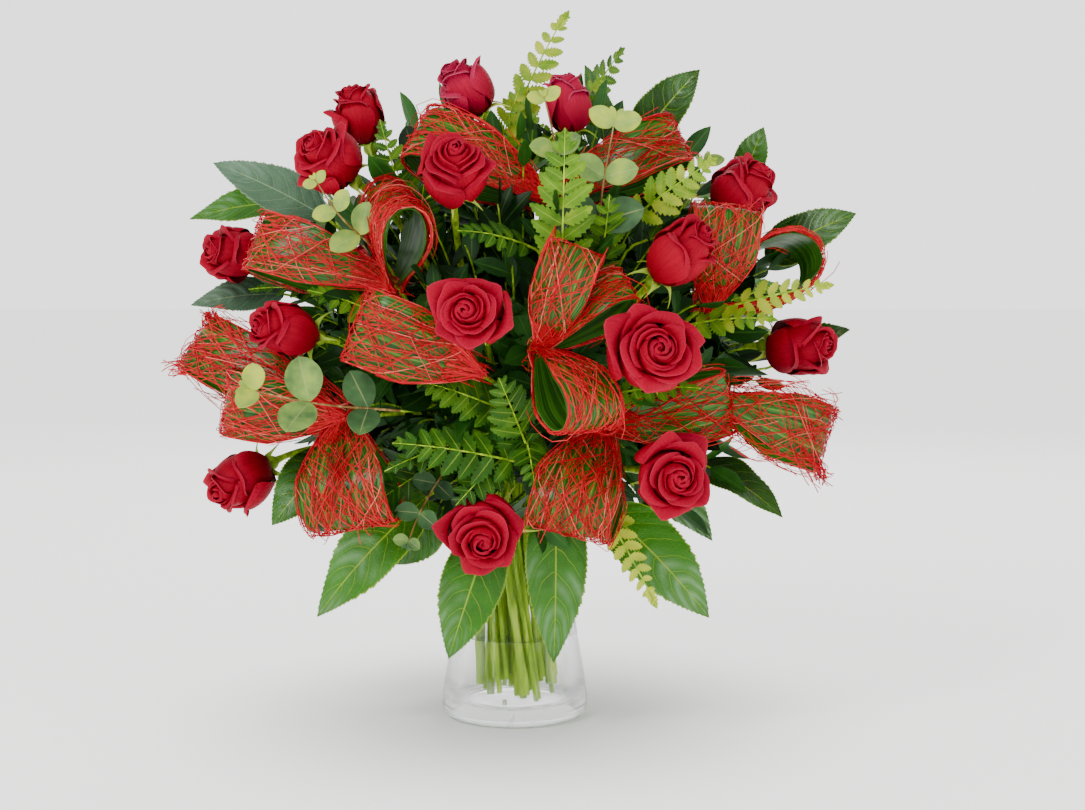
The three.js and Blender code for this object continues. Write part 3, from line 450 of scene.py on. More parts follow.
# Each rose: where it is, the way it faces, its radius, its depth and how far it is open.
roses = [
    ((-24, -192, 308), (-0.08, -0.98, 0.12), 30, 44, 1.0),
    ((94, -178, 284), (0.22, -0.93, 0.22), 36, 48, 1.0),
    ((107, -155, 199), (0.22, -0.95, 0.06), 32.5, 46, 1.0),
    ((-19, -134, 156), (-0.08, -0.96, -0.22), 31.5, 44, 1.0),
    ((-39, -140, 402), (0.02, -0.78, 0.6), 29.5, 48, 0.85),
    ((-128, -92, 412), (-0.6, -0.62, 0.48), 28.5, 46, 0.75),
    ((-112, -36, 448), (-0.3, -0.25, 0.92), 25, 44, 0.55),
    ((-34, -55, 465), (-0.55, -0.35, 0.75), 25, 44, 0.6),
    ((39, -62, 454), (-0.08, -0.2, 0.98), 23, 43, 0.25),
    ((164, -52, 394), (0.55, -0.42, 0.7), 31, 50, 0.55),
    ((114, -150, 347), (0.6, -0.5, 0.62), 27, 53, 0.4),
    ((205, -68, 282), (0.82, -0.56, 0.02), 28, 50, 0.55),
    ((-206, -30, 347), (-0.8, -0.58, 0.1), 27, 44, 0.6),
    ((-157, -113, 294), (-0.74, -0.62, 0.18), 26, 50, 0.5),
    ((-197, -62, 185), (-0.62, -0.55, -0.32), 29, 50, 0.5),
    ((105, 128, 392), (0.4, 0.62, 0.66), 29, 46, 0.8),
    ((-128, 118, 330), (-0.6, 0.75, 0.26), 30, 46, 0.9),
    ((35, 168, 265), (0.14, 0.98, -0.02), 31, 46, 1.0),
]
roses = [dict(place=vec(p), faces=unit(vec(f)), radius=r, depth=d, open=o) for p, f, r, d, o in roses]
for rose in roses:
    rose["base"] = rose["place"] - rose["faces"] * rose["depth"] / 2

# Broad leaves: root, tip, the way the face looks, width.
leafSprays = {
    "leaf_spray_front": ((3, -54, 200), [
        ((-61, -96, 176), (-141, -70, 87), (-0.35, -0.85, 0.35), 50),
        ((-50, -74, 166), (-86, -52, 122), (-0.2, -0.9, 0.3), 40),
        ((-16, -80, 150), (-46, -82, 59), (-0.1, -1, 0.1), 46),
        ((30, -86, 178), (29, -82, 56), (0.12, -1, 0.1), 45),
        ((66, -82, 166), (139, -90, 90), (0.3, -0.85, 0.4), 52)]),
    "leaf_spray_right": ((74, 8, 262), [
        ((134, -40, 196), (192, -78, 160), (0.1, -0.5, 0.85), 38),
        ((186, -16, 345), (250, -30, 377), (0, -0.85, 0.5), 38),
        ((92, -4, 430), (136, -20, 482), (-0.2, -0.9, 0.3), 38),
        ((66, -16, 432), (52, -22, 485), (0.6, -0.8, 0.2), 25),
        ((172, 14, 400), (186, 4, 442), (-0.3, -0.9, 0.3), 27),
        ((205, 10, 268), (248, -20, 292), (0, -0.7, 0.7), 32)]),
    "leaf_spray_left": ((-75, -8, 250), [
        ((-135, -58, 374), (-217, -40, 413), (0.1, -0.9, 0.4), 36),
        ((-160, 6, 386), (-244, 10, 374), (0, -0.7, 0.7), 36),
        ((-172, -8, 318), (-238, -22, 310), (0, -0.8, 0.6), 30),
        ((-126, -70, 206), (-170, -90, 156), (-0.2, -0.9, 0.3), 42)]),
    "leaf_spray_back": ((-6, 45, 235), [
        ((-62, 92, 180), (-128, 128, 108), (-0.3, 0.85, 0.4), 50),
        ((14, 84, 176), (24, 104, 72), (0, 1, 0.15), 48),
        ((88, 80, 186), (158, 96, 118), (0.35, 0.85, 0.4), 48),
        ((-60, 130, 385), (-92, 158, 458), (-0.1, 0.9, 0.3), 40),
        ((150, 104, 300), (226, 130, 318), (0.3, 0.9, 0.3), 42),
        ((-150, 96, 258), (-222, 118, 232), (-0.2, 0.85, 0.5), 44),
        ((-112, 50, 326), (-196, 58, 350), (-0.3, 0.8, 0.5), 44),
        ((34, 96, 372), (50, 142, 452), (0.1, 0.9, 0.4), 42),
        ((96, 92, 316), (176, 120, 360), (0.3, 0.8, 0.5), 42)]),
}

# Fronds: root, tip, face, width, pairs of leaflets, tone (dark 0 to yellow 1).
fernSprays = {
    "fern_top": ((12, 8, 340), [
        ((0, -28, 446), (40, -36, 523), (-0.2, -0.95, 0.2), 36, 7, 0.85),
        ((48, 40, 450), (84, 62, 508), (0.2, 0.5, 0.8), 36, 6, 0.5),
        ((10, 140, 340), (-8, 190, 402), (0, 0.8, 0.6), 44, 6, 0.4)]),
    "fern_left": ((-62, -42, 300), [
        ((-98, -80, 314), (-190, -56, 322), (0, -0.7, 0.7), 32, 7, 0.3),
        ((-74, -70, 372), (-92, -92, 440), (-0.1, -0.95, 0.3), 36, 7, 0.45),
        ((-96, 60, 360), (-168, 96, 400), (-0.4, 0.5, 0.7), 40, 6, 0.4)]),
    "fern_centre": ((9, -62, 268), [
        ((34, -128, 338), (36, -150, 430), (0, -0.96, 0.25), 52, 8, 0.6),
        ((12, -112, 352), (-36, -146, 362), (0, -0.8, 0.6), 34, 6, 0.35),
        ((4, -122, 204), (-80, -152, 220), (-0.1, -0.9, 0.4), 48, 7, 0.3),
        ((11, -118, 212), (-8, -160, 264), (0, -0.95, 0.3), 46, 6, 0.35)]),
    "fern_right": ((72, -58, 238), [
        ((84, -98, 372), (140, -120, 412), (0, -0.95, 0.3), 38, 7, 0.8),
        ((156, -98, 312), (220, -124, 326), (0.1, -0.95, 0.3), 28, 7, 0.95),
        ((60, -116, 176), (100, -132, 104), (0.1, -0.97, 0.2), 30, 8, 0.95)]),
}

# Eucalyptus sprigs: path, face, leaf sizes from the root of the sprig, tone at the root and at the tip.
eucalyptusSprays = {
    "eucalyptus_left": ((-48, -70, 240), [
        (((-76, -130, 240), (-128, -150, 246), (-176, -152, 256)), (0, -0.8, 0.6), (26, 30, 18),
         0.3, 0.85),
        (((-46, -100, 198), (-62, -117, 172), (-72, -126, 148)), (-0.1, -0.9, 0.3), (16, 16, 10),
         0.2, 0.5),
        (((-96, -112, 352), (-116, -128, 372), (-133, -130, 397)), (-0.2, -0.9, 0.3), (21, 15, 9),
         0.75, 1.0)]),
    "eucalyptus_right": ((40, -48, 320), [
        (((58, -116, 352), (62, -124, 392), (70, -124, 438)), (0, -0.95, 0.3), (30, 22, 18), 0.35, 0.9),
        (((32, -100, 408), (28, -108, 430), (22, -112, 454)), (0, -0.9, 0.4), (18, 12), 0.6, 0.9)]),
}

# Loops: each knot, then the far end, front, width and opening of each of its loops, and its fray in mm.
loopSprays = {
    "loops_centre": ((14, -58, 232), [
        ((20, -140, 282), [((44, -158, 350), (0, -1, 0.25), 38, 30, 3),
                           ((78, -154, 326), (-0.2, -0.8, 0.6), 28, 24, 3),
                           ((54, -184, 236), (0.5, -0.7, 0.4), 44, 34, 2)]),
        ((-24, -140, 268), [((-102, -160, 300), (-0.1, -1, 0.1), 52, 36, 2)])]),
    "loops_right": ((56, -56, 222), [
        ((62, -108, 227), [((38, -150, 160), (-0.2, -1, 0.1), 58, 34, 4),
                           ((150, -116, 246), (0, -1, -0.2), 44, 26, 4)]),
        ((144.5, -115.5, 245), [((220, -84, 216), (0.2, -1, 0.1), 46, 32, 16)]),
        ((138, -92, 312), [((148, -118, 378), (0.1, -1, 0.2), 46, 32, 3),
                           ((212, -58, 348), (0.1, -0.3, -1), 34, 44, 9)])]),
    "loops_top": ((18, -28, 330), [
        ((26, -72, 384), [((-68, -82, 432), (0.2, -0.85, 0.5), 46, 30, 2),
                          ((118, -80, 428), (0, -0.9, 0.4), 38, 30, 3)])]),
    "loops_left": ((-52, -58, 232), [
        ((-82, -100, 326), [((-78, -128, 388), (-1, -0.4, 0), 52, 34, 3),
                            ((-182, -78, 356), (0, -1, 0.2), 42, 28, 3)]),
        ((-120, -96, 232), [((-230, -50, 284), (0, -1, 0.3), 44, 34, 14),
                            ((-200, -100, 244), (0, -1, 0), 46, 34, 3),
                            ((-110, -128, 160), (-0.2, -1, 0.1), 62, 38, 3)])]),
    "loops_back": ((10, 52, 262), [
        ((-18, 116, 300), [((-72, 172, 342), (0, 1, 0.3), 46, 32, 3),
                           ((66, 162, 340), (0, 1, 0.2), 46, 32, 3),
                           ((-66, 168, 236), (-0.2, 1, 0), 50, 34, 4)])]),
}
# The knot that sits on the loop before it, with no branch and no tie of its own.
tipKnots = {("loops_right", 1)}

# Each ribbon of web: its spray and the numbers of its knots.
ribbons = {
    "sisal_centre": ("loops_centre", (0, 1)),
    "sisal_low_right": ("loops_right", (0, 1)),
    "sisal_high_right": ("loops_right", (2,)),
    "sisal_top": ("loops_top", (0,)),
    "sisal_high_left": ("loops_left", (0,)),
    "sisal_low_left": ("loops_left", (1,)),
    "sisal_back": ("loops_back", (0,)),
}
sprays = {**leafSprays, **loopSprays, **fernSprays, **eucalyptusSprays}
hubs = {name: vec(hub) for name, (hub, _) in sprays.items()}


def claimNeck(target, radius):
    away = target - heart
    fan = math.acos(np.dot(unit(away), upward))
    share = min(1, fan / math.radians(neck["fan"])) ** 0.8
    return {"spot": unit(away * (1, 1, 0)) * neck["spread"] * share, "radius": radius}


# Stems that claim the same place push each other aside.
neckStems = [claimNeck(rose["base"], roseStem["radius"]) for rose in roses]
neckStems += [claimNeck(hub, twig["radius"]) for hub in hubs.values()]
for _ in range(neck["rounds"]):
    for i, a in enumerate(neckStems):
        for b in neckStems[i + 1:]:
            apart = b["spot"] - a["spot"]
            gap = np.linalg.norm(apart)
            push = max(0, a["radius"] + b["radius"] + neck["gap"] - gap) / 2
            if push:
                a["spot"] = a["spot"] - apart / gap * push
                b["spot"] = b["spot"] + apart / gap * push
    for stem in neckStems:
        reach = np.linalg.norm(stem["spot"])
        stem["spot"] = stem["spot"] * min(1, (neck["room"] - stem["radius"]) / max(reach, 1e-6))


def stemPath(spot, index, end, direction, steps):
    # From the cut end near the floor straight to the neck, then in one bend to what the stem carries.
    cut = roseStem["cut"] + roseStem["stagger"] * ((index * 7) % 4)
    top = spot + upward * neck["height"]
    standing = turnAbout(spot, upward, math.radians(neck["spiral"])) * neck["floorSpread"]
    drop = (neck["height"] - cut) / (neck["height"] - neck["floor"])
    foot = lerp(spot, standing, drop) * (1, 1, 0) + upward * cut
    length = np.linalg.norm(top - end)
    steep = roseStem["steep"] + 0.8 * max(0, roseStem["lowBloom"] - end[2])
    bend = [top, top + unit(top - foot) * max(roseStem["rise"] * length, steep),
            end - direction * roseStem["arrive"] * length, end]
    straight = np.array([lerp(foot, top, t) for t in np.linspace(0, 1, steps // 3, endpoint=False)])
    return np.concatenate([straight, bezier(bend, np.linspace(0, 1, steps))])


def sprayStem(name):
    index = list(hubs).index(name)
    spot = neckStems[len(roses) + index]["spot"]
    path = stemPath(spot, index, hubs[name], unit(hubs[name] - crown), 40)
    return taperPart(path, twig["top"], twig["tip"], 9)


def branchPart(hub, end, arriving, thick, thin, sides):
    # From the hub out to the foot of what the branch carries.
    length = np.linalg.norm(end - hub)
    heading = unit(unit(end - hub) + twig["out"] * unit(hub - crown))
    points = [hub, hub + heading * twig["bend"] * length, end - arriving * twig["bend"] * length,
              end + arriving * 0.5]
    return taperPart(bezier(points, np.linspace(0, 1, twig["steps"])), thick, thin, sides)


def ribFrame(root, tip, face, arch, v):
    length = np.linalg.norm(tip - root)
    middle = (root + tip) / 2 + face * arch * length
    rib = bezier([root, middle, tip], v)
    along = unit(bezier([middle - root, tip - middle], v))
    side = unit(np.cross(along, face))
    return rib, along, side, np.cross(side, along), length


def sprayParts(name, specs, build, random):
    # The stem of a spray that has its own, and the branches and leaves that hang on the hubs.
    twigs, leaves = [sprayStem(name)] if name in hubs else [], []
    for hub, *spec in specs:
        more, others = build(hubs[hub], *spec, random)
        twigs += more
        leaves += others
    return twigs, leaves


glass = {
    "sides": 96,
    "outside": [(0, 0), (47.5, 0), (50, 0.6), (52.4, 2.0), (53.6, 3.6), (53.3, 4.3), (54.5, 6), (55, 8),
                (54.7, 9), (55, 10), (55, 12), (54.6, 16), (54.2, 20), (51.6, 38), (47.9, 59), (45.2, 80),
                (43.1, 100), (41.8, 116), (41.5, 126), (41.8, 138), (42.9, 148), (45.2, 157), (45.7, 159),
                (45.3, 160)],
    "inside": [(43.7, 160), (43.1, 159.2), (42.3, 157), (40.0, 148), (38.8, 138), (38.5, 126),
               (38.8, 116), (40.1, 100), (42.2, 80), (44.9, 59), (48.6, 38), (50.8, 24), (50.4, 19),
               (49.6, 17), (49.3, 16.2), (48.6, 14.6), (47, 13.4), (46.4, 13.3), (45, 12.2), (43, 11.6),
               (42.2, 11.7), (40, 11), (36, 11), (35, 11.5), (34, 11), (20, 11), (0, 11)],
}
water = {"level": 63, "gap": 0.15,
         "meniscus": [(44.25, 0), (43.9, -0.5), (43.3, -0.9), (42.2, -1.15), (40, -1.2), (0, -1.2)]}


def turnedPiece(name, profile, finish, node):
    # A ring that is extruded and scaled up the profile, and closed to a point on the axis at both ends.
    (firstR, firstZ), *rest = profile[1:-1]
    start = (0, 0, firstZ * mm)
    bpy.ops.mesh.primitive_circle_add(vertices=glass["sides"], radius=firstR * mm, location=start)
    piece = bpy.context.active_object
    piece.name = name
    bpy.ops.object.transform_apply(location=True, rotation=True, scale=True)
    bpy.ops.object.mode_set(mode="EDIT")
    bpy.ops.mesh.select_all(action="SELECT")
    bpy.ops.mesh.extrude_edges_move()
    bpy.ops.mesh.merge(type="CENTER")
    bpy.ops.object.mode_set(mode="OBJECT")
    # the ring is the part at full radius; the pole is left alone
    for vertex in piece.data.vertices:
        vertex.select = math.hypot(vertex.co.x, vertex.co.y) > firstR * mm / 2
    for edge in piece.data.edges:
        edge.select = all(piece.data.vertices[i].select for i in edge.vertices)
    for face in piece.data.polygons:
        face.select = False
    bpy.ops.object.mode_set(mode="EDIT")
    bpy.ops.mesh.select_mode(type="EDGE")
    radius, height = firstR, firstZ
    for nextR, nextZ in rest:
        bpy.ops.mesh.extrude_edges_move(TRANSFORM_OT_translate={"value": (0, 0, (nextZ - height) * mm)})
        scale = nextR / radius
        bpy.ops.transform.resize(value=(scale, scale, 1), center_override=(0, 0, nextZ * mm))
        radius, height = nextR, nextZ
    bpy.ops.mesh.extrude_edges_move()
    bpy.ops.mesh.merge(type="CENTER")
    bpy.ops.mesh.select_all(action="SELECT")
    bpy.ops.mesh.normals_make_consistent(inside=False)
    bpy.ops.object.mode_set(mode="OBJECT")
    piece.data.materials.clear()
    piece.data.materials.append(finish)
    finishPiece(piece, 40, [node])


turnedPiece("glassVase", glass["outside"] + glass["inside"], clearGlass, "vase")
lowest = glass["inside"][-1][1] + water["gap"]
wetWall = [(r - water["gap"], max(z, lowest)) for r, z in glass["inside"][:-1] if z < water["level"]]
surface = [(r, water["level"] + z) for r, z in water["meniscus"]]
turnedPiece("vaseWater", [(0, lowest), *wetWall[::-1], *surface], clearWater, "water")
print("vase and water made")

petalGrid = flatGrid(16, 26)
# Pairs are the value in the heart and the value at the outside, or that of a bud and of an open bloom.
bloomShape = {"petals": 20, "budPetals": 16, "crowd": 1.28, "turn": 137.5, "thickness": 0.4, "fold": 0.56,
              "mouth": (0.84, 1.1), "crest": (0.92, 0.7), "flare": (-0.09, 0.36), "slope": (1.3, 0.28),
              "belly": 0.44, "halfWidth": (130, 54), "droop": (0.07, 0.26), "drop": (0.0, 0.12),
              "coreHeight": (0.3, 0.5, 0.7, 0.82, 0.88, 0.92, 0.935),
              "coreRadius": (0.12, 0.15, 0.14, 0.12, 0.095, 0.055, 0.012), "pink": (7, 8)}


def petalPoints(rose, share, turn, short, random):
    # One petal in the bloom's own frame: a cup from the base up to the fold, then a flared lip.
    # Near the heart the lips lean in over one another; farther out they open like a funnel and curl back.
    u, v, _ = petalGrid
    radius, depth, opened = rose["radius"], rose["depth"], rose["open"]
    shape = bloomShape
    mouth = radius * lerp(*shape["mouth"], opened)
    side = np.abs(u)
    outer = ease(share, 0.3, 1.0)
    lipRadius = mouth * (0.02 + 0.98 * share ** 1.05) * random.uniform(0.96, 1.04 if share < 0.8 else 1.0)
    flare = radius * lerp(*shape["flare"], ease(share, 0.03, 0.95) ** 0.8) * lerp(0.5, 1, opened)
    flare *= random.uniform(0.85, 1.15)
    slope = lerp(*shape["slope"], ease(share, 0.1, 1.0))
    foldRadius = max(lipRadius - flare, 0.035 * radius)
    belly = shape["belly"] * (radius + mouth) * (0.16 + 0.82 * share ** 0.75)
    crestHeight = depth * lerp(0.97, lerp(*shape["crest"], opened) + 0.04, share ** 1.5)
    crestHeight *= random.uniform(0.96, 1.03) * short
    drop = radius * lerp(*shape["drop"], outer) * lerp(0.6, 1, opened) * random.uniform(0.5, 1.5)
    half = math.radians(lerp(*shape["halfWidth"], share ** 0.5)) * random.uniform(0.88, 1.1)
    droop = 1 - lerp(*shape["droop"], share) * side ** 2.6
    peak = random.uniform(-0.25, 0.25)
    tip = np.exp(-(np.abs(u - peak) / 0.36) ** 1.25)
    reach = flare * np.where(flare > 0, lerp(1, 0.4 + 0.6 * tip, outer) * (1 - 0.5 * side ** 4), 1)
    foldHeight = (crestHeight - abs(flare) * slope) * droop
    lipHeight = crestHeight * droop - drop * (0.2 + 0.8 * (1 - tip)) * outer
    over = foldHeight + abs(flare) * slope * 1.15

    fold = shape["fold"]
    inCup = np.clip(v / fold, 0, 1)
    pastFold = np.clip((v - fold) / (1 - fold), 0, 1)
    cupR = cubic(inCup, 3.2, belly * 0.95, max(belly * 1.06, foldRadius), foldRadius)
    cupZ = cubic(inCup, 0.5, 0.06 * depth, 0.82 * foldHeight, foldHeight)
    lipR = foldRadius + cubic(pastFold, 0, 0.02 * radius, 0.55 * reach, reach)
    lipZ = cubic(pastFold, foldHeight, lerp(foldHeight, over, 0.4), over, lipHeight)
    wave, phase = random.uniform(0.02, 0.045) * radius * lerp(0.25, 1, share), random.uniform(0, 6)
    crinkle = random.uniform(0.1, 0.28) * np.sin(random.uniform(9, 15) * u + phase * 3 + 4 * v) * v ** 3
    r = np.where(v < fold, cupR, lipR) * (1 + lerp(0.34, 0.06, share ** 0.6) * u)
    r = r + wave * np.sin(3.4 * u + phase) * v ** 2 + crinkle
    z = np.where(v < fold, cupZ, lipZ) + wave * 1.2 * np.sin(4.6 * u + phase * 2) * v ** 3 + crinkle
    spread = 0.3 + 0.7 * ease(v, 0, 0.5) - lerp(0.05, 0.2, share) * ease(v, 0.7, 1.0)
    angle = turn + half * u * spread
    return np.stack([r * np.cos(angle), r * np.sin(angle), z], axis=-1)


def bloomFrame(faces):
    side = unit(np.cross(faces, upward if abs(faces[2]) < 0.95 else vec((0, -1, 0))))
    return np.stack([side, np.cross(faces, side), faces])


for number, rose in enumerate(roses):
    random = np.random.default_rng(100 + number)
    count = bloomShape["petals"] if rose["open"] > 0.6 else bloomShape["budPetals"]
    turn = 2.4 * number
    shift = random.uniform(0.05, 0.13) * rose["radius"] * vec((math.cos(number), math.sin(number)))
    axes = bloomFrame(rose["faces"])
    # a closed bud in the heart of the bloom, which the first petals wrap
    coreHeight = rose["depth"] * vec(bloomShape["coreHeight"])
    coreLine = rose["base"] + moved(np.append(shift, 0) * 0.9, (upward, coreHeight)) @ axes
    # the bud has no uv, so it takes the ramp's darkest colour, which is painted shade
    petals = [tubePart([coreLine], [rose["radius"] * vec(bloomShape["coreRadius"])], 14, 0.9)]
    for k in range(count):
        shuffle = random.uniform(-0.5, 0.5) if 3 < k < count - 5 else 0
        share = np.clip((k + 0.3 + shuffle) / (count - 0.7), 0, 1) ** bloomShape["crowd"]
        turn += math.radians(bloomShape["turn"] + random.uniform(-24, 24))
        # the outermost petals have opened lower than the rest
        short = random.uniform(0.78, 0.96) if k > count - 5 else 1.0
        local = petalPoints(rose, share, turn, short, random)
        local[:, :2] += shift * (1 - share) * np.clip(local[:, 2:] / rose["depth"], 0, 1)
        petals.append(sheetPart(petalGrid, rose["base"] + local @ axes, random.uniform(0.2, 1)))
    name = f"{number + 1:02d}"
    finish = petalPink if number in bloomShape["pink"] else petalRed
    makePiece(f"roseBloom{name}", petals, [finish], [f"rose_bloom_{name}"],
              bloomShape["thickness"], 55)
print("rose blooms made")

sepalGrid = flatGrid(4, 12)
calyx = {"longest": {3: 1.7, 1: 1.3}, "sepals": 5, "reach": 23, "droop": 9, "width": 6.4, "length": 9,
         "radii": (3.0, 3.6, 4.4, 5.0, 5.35, 5.4, 5.2, 4.8, 4.2, 3.2), "thickness": 0.5}


def sepalPoints(number, turn, random):
    # One sepal in the bloom's own frame: out from the cup and down, widest near its root.
    u, v, _ = sepalGrid
    angle = turn + random.uniform(-0.12, 0.12)
    reach = calyx["reach"] * random.uniform(0.85, 1) * calyx["longest"].get(number, 1)
    droop = calyx["droop"] * random.uniform(0.5, 1.1)
    half = calyx["width"] / 2 * (1 - v) ** 0.8 * (0.75 + 0.6 * np.sin(math.pi * np.minimum(1, v * 1.5)))
    r = 4 + (reach - 4) * v
    z = -0.8 + 3.0 * np.sin(math.pi * v * 0.9) - droop * v ** 2.2 + 0.35 * half * u ** 2
    across = half * u + random.uniform(-2.5, 2.5) * v ** 2
    return np.stack([r * math.cos(angle) - across * math.sin(angle),
                     r * math.sin(angle) + across * math.cos(angle), z], axis=-1)


for number, rose in enumerate(roses):
    random = np.random.default_rng(300 + number)
    underBloom = rose["base"] - rose["faces"] * 8
    path = stemPath(neckStems[number]["spot"], number, underBloom, rose["faces"], 60)
    count = len(path)
    place = np.arange(count)
    radii = roseStem["radius"] * lerp(1.12, 0.86, place / count)
    for joint in range(4, count, roseStem["joint"]):
        near = (place - joint - random.uniform(-2, 2)) / 0.9
        radii = radii * (1 + roseStem["swell"] * np.exp(-near ** 2))
    radii[-3:] = roseStem["ends"]
    thorns = []
    for _ in range(roseStem["thorns"]):
        i = int(random.uniform(0.45, 0.9) * count)
        away = unit(np.cross(path[i + 1] - path[i], random.normal(size=3)))
        tip = path[i] + away * roseStem["thorn"] - unit(path[i + 1] - path[i]) * 1.5
        thorns.append([lerp(path[i], tip, t) for t in (0.3, 0.5, 0.75, 1)])
    cupHeight = np.linspace(-calyx["length"], 0.2, len(calyx["radii"]))
    cupLine = moved(rose["base"], (rose["faces"], cupHeight))
    sepals = []
    for k in range(calyx["sepals"]):
        local = sepalPoints(number, 2.4 * number + fullTurn * (k + 0.5) / calyx["sepals"], random)
        points = rose["base"] + local @ bloomFrame(rose["faces"])
        sepals.append(sheetPart(sepalGrid, points, random.uniform(0.3, 0.9)))
    name = f"{number + 1:02d}"
    stems = [tubePart([path], [radii], 12), tubePart(thorns, [[1.6, 1.1, 0.6, 0.12]], 6)]
    cup = [tubePart([cupLine], [calyx["radii"]], 16, 0.4)]
    for title, parts, finish, thickness in (("Stem", stems, barkGreen, 0), ("Cup", cup, calyxGreen, 0),
                                            ("Sepals", sepals, calyxGreen, calyx["thickness"])):
        makePiece(f"rose{title}{name}", parts, [finish], [f"rose_stem_{name}"], thickness)
print("rose stems made")

leafGrid = flatGrid(16, 90)
broadLeaf = {"arch": 0.12, "fold": 0.16, "teeth": 30, "tooth": 0.035, "rootPower": 0.55,
             "tipPower": 0.95, "ripples": 7, "ripple": 0.5, "wave": 1.6, "thickness": 0.5,
             "pale": {("leaf_spray_left", 0), ("leaf_spray_left", 2)},
             "tones": {"leaf_spray_front": 0.85, "leaf_spray_right": 0.3, "leaf_spray_left": 0.45,
                       "leaf_spray_back": 0.45}}


def leafOutline(v):
    return np.maximum(v, 1e-4) ** broadLeaf["rootPower"] * np.maximum(1 - v, 0) ** broadLeaf["tipPower"]


def broadLeafPoints(root, tip, face, width, random):
    u, v, _ = leafGrid
    rib, along, side, up, length = ribFrame(root, tip, face, broadLeaf["arch"], v)
    outline = leafOutline(v) / np.max(leafOutline(np.linspace(0, 1, 200)))
    saw = (v * broadLeaf["teeth"]) % 1 - 0.5
    edge = ease(np.abs(u), 0.86, 1)
    out = np.abs(u) ** 1.4
    half = width / 2 * outline * (1 + broadLeaf["tooth"] * edge * saw * 2)
    ripple = np.sin(fullTurn * (v * broadLeaf["ripples"] - out * 1.7)) * np.sin(math.pi * np.abs(u))
    wave = np.sin(v * fullTurn * random.uniform(1.2, 2) + random.uniform(0, 6)) * u ** 2 * np.sign(u)
    lift = (broadLeaf["fold"] * half * out + broadLeaf["ripple"] * ripple
            + broadLeaf["wave"] * wave * outline)
    return moved(rib, (side, half * u), (up, lift), (along, 0.02 * length * edge * saw))


for name, (_, leaves) in leafSprays.items():
    random = np.random.default_rng(len(name) * 7 + 5)
    blades, twigs = [], [sprayStem(name)]
    for k, (root, tip, face, width) in enumerate(leaves):
        root, tip, face = vec(root), vec(tip), unit(vec(face))
        points = broadLeafPoints(root, tip, face, width, random)
        tone = np.clip(broadLeaf["tones"][name] + random.uniform(-0.25, 0.25), 0, 1)
        blades.append(sheetPart(leafGrid, points, tone, int((name, k) in broadLeaf["pale"])))
        arriving = unit(tip - root + face * 0.4 * np.linalg.norm(tip - root))
        twigs.append(branchPart(hubs[name], root, arriving, 1.4, 0.9, 8))
    title = titleOf(name, 2)
    makePiece(f"leafStems{title}", twigs, [barkGreen], [name])
    makePiece(f"broadLeaves{title}", blades, [leafGreen, leafGrey], [name],
              broadLeaf["thickness"], 60)
print("broad leaves made")

frond = {"arch": 0.14, "sweep": 0.62, "droop": 0.14, "teeth": 6, "cut": 0.42, "extra": 1, "crowd": 0.9,
         "end": 0.8, "endWidth": 0.11, "thickness": 0.35}
# one row of the mesh on each tooth and one in each notch
leafletGrid = flatGrid(2, 2 * frond["teeth"])


def leafletPoints(base, tip, up, width, random):
    u, v, _ = leafletGrid
    along = unit(tip - base)
    side = unit(np.cross(along, up))
    length = np.linalg.norm(tip - base)
    outline = (np.maximum(v, 1e-3) ** 0.22 * np.maximum(1 - v, 0) ** 0.8) / 0.66
    saw = np.abs((v * frond["teeth"]) % 1 - 0.5) * 2
    half = width / 2 * outline * (1 - frond["cut"] * saw * ease(np.abs(u), 0.4, 1) * (1 - 0.6 * v))
    curl = -0.1 * length * v ** 2 + 0.12 * half * np.abs(u) + random.uniform(-0.4, 0.4) * v
    lean = 0.7 * half * np.abs(u)
    return moved(base, (along, length * v + lean), (side, half * u), (np.cross(side, along), curl))


def frondParts(hub, root, tip, face, width, pairs, tone, random):
    # The branch that carries the frond, its rib, and leaflets on both sides that get shorter to the tip.
    root, tip, face = vec(root), vec(tip), unit(vec(face))
    rib = ribFrame(root, tip, face, frond["arch"], np.linspace(0, 1, 30))[0]
    ribs = [branchPart(hub, root, unit(tip - root), 1.2, 0.9, 7), taperPart(rib, 0.9, 0.25, 6)]
    leaflets = []
    count = pairs + frond["extra"]
    for pair in range(count):
        for hand in (-1, 1):
            share = ((pair + 0.35 + (0.12 if hand > 0 else 0)) / (count + 0.2)) ** frond["crowd"]
            long = width / 2 * (1 - share) ** 0.62 * min(1, 0.6 + 2.5 * share) * random.uniform(0.88, 1.1)
            spot, along, side, up, length = ribFrame(root, tip, face, frond["arch"], share)
            sweep = frond["sweep"] * random.uniform(0.8, 1.3)
            droop = frond["droop"] * random.uniform(-0.6, 1.8)
            end = moved(spot, (side, hand * long), (along, sweep * long), (up, -droop * long))
            broad = min(long * 0.85, length / (count + 0.2) * 1.4)
            points = leafletPoints(spot, end, up, broad, random)
            shade = np.clip(tone + random.uniform(-0.1, 0.1), 0, 1)
            leaflets.append(sheetPart(leafletGrid, points, shade))
    spot, _, _, up, length = ribFrame(root, tip, face, frond["arch"], frond["end"])
    points = leafletPoints(spot, tip, up, length * frond["endWidth"], random)
    leaflets.append(sheetPart(leafletGrid, points, tone))
    return ribs, leaflets


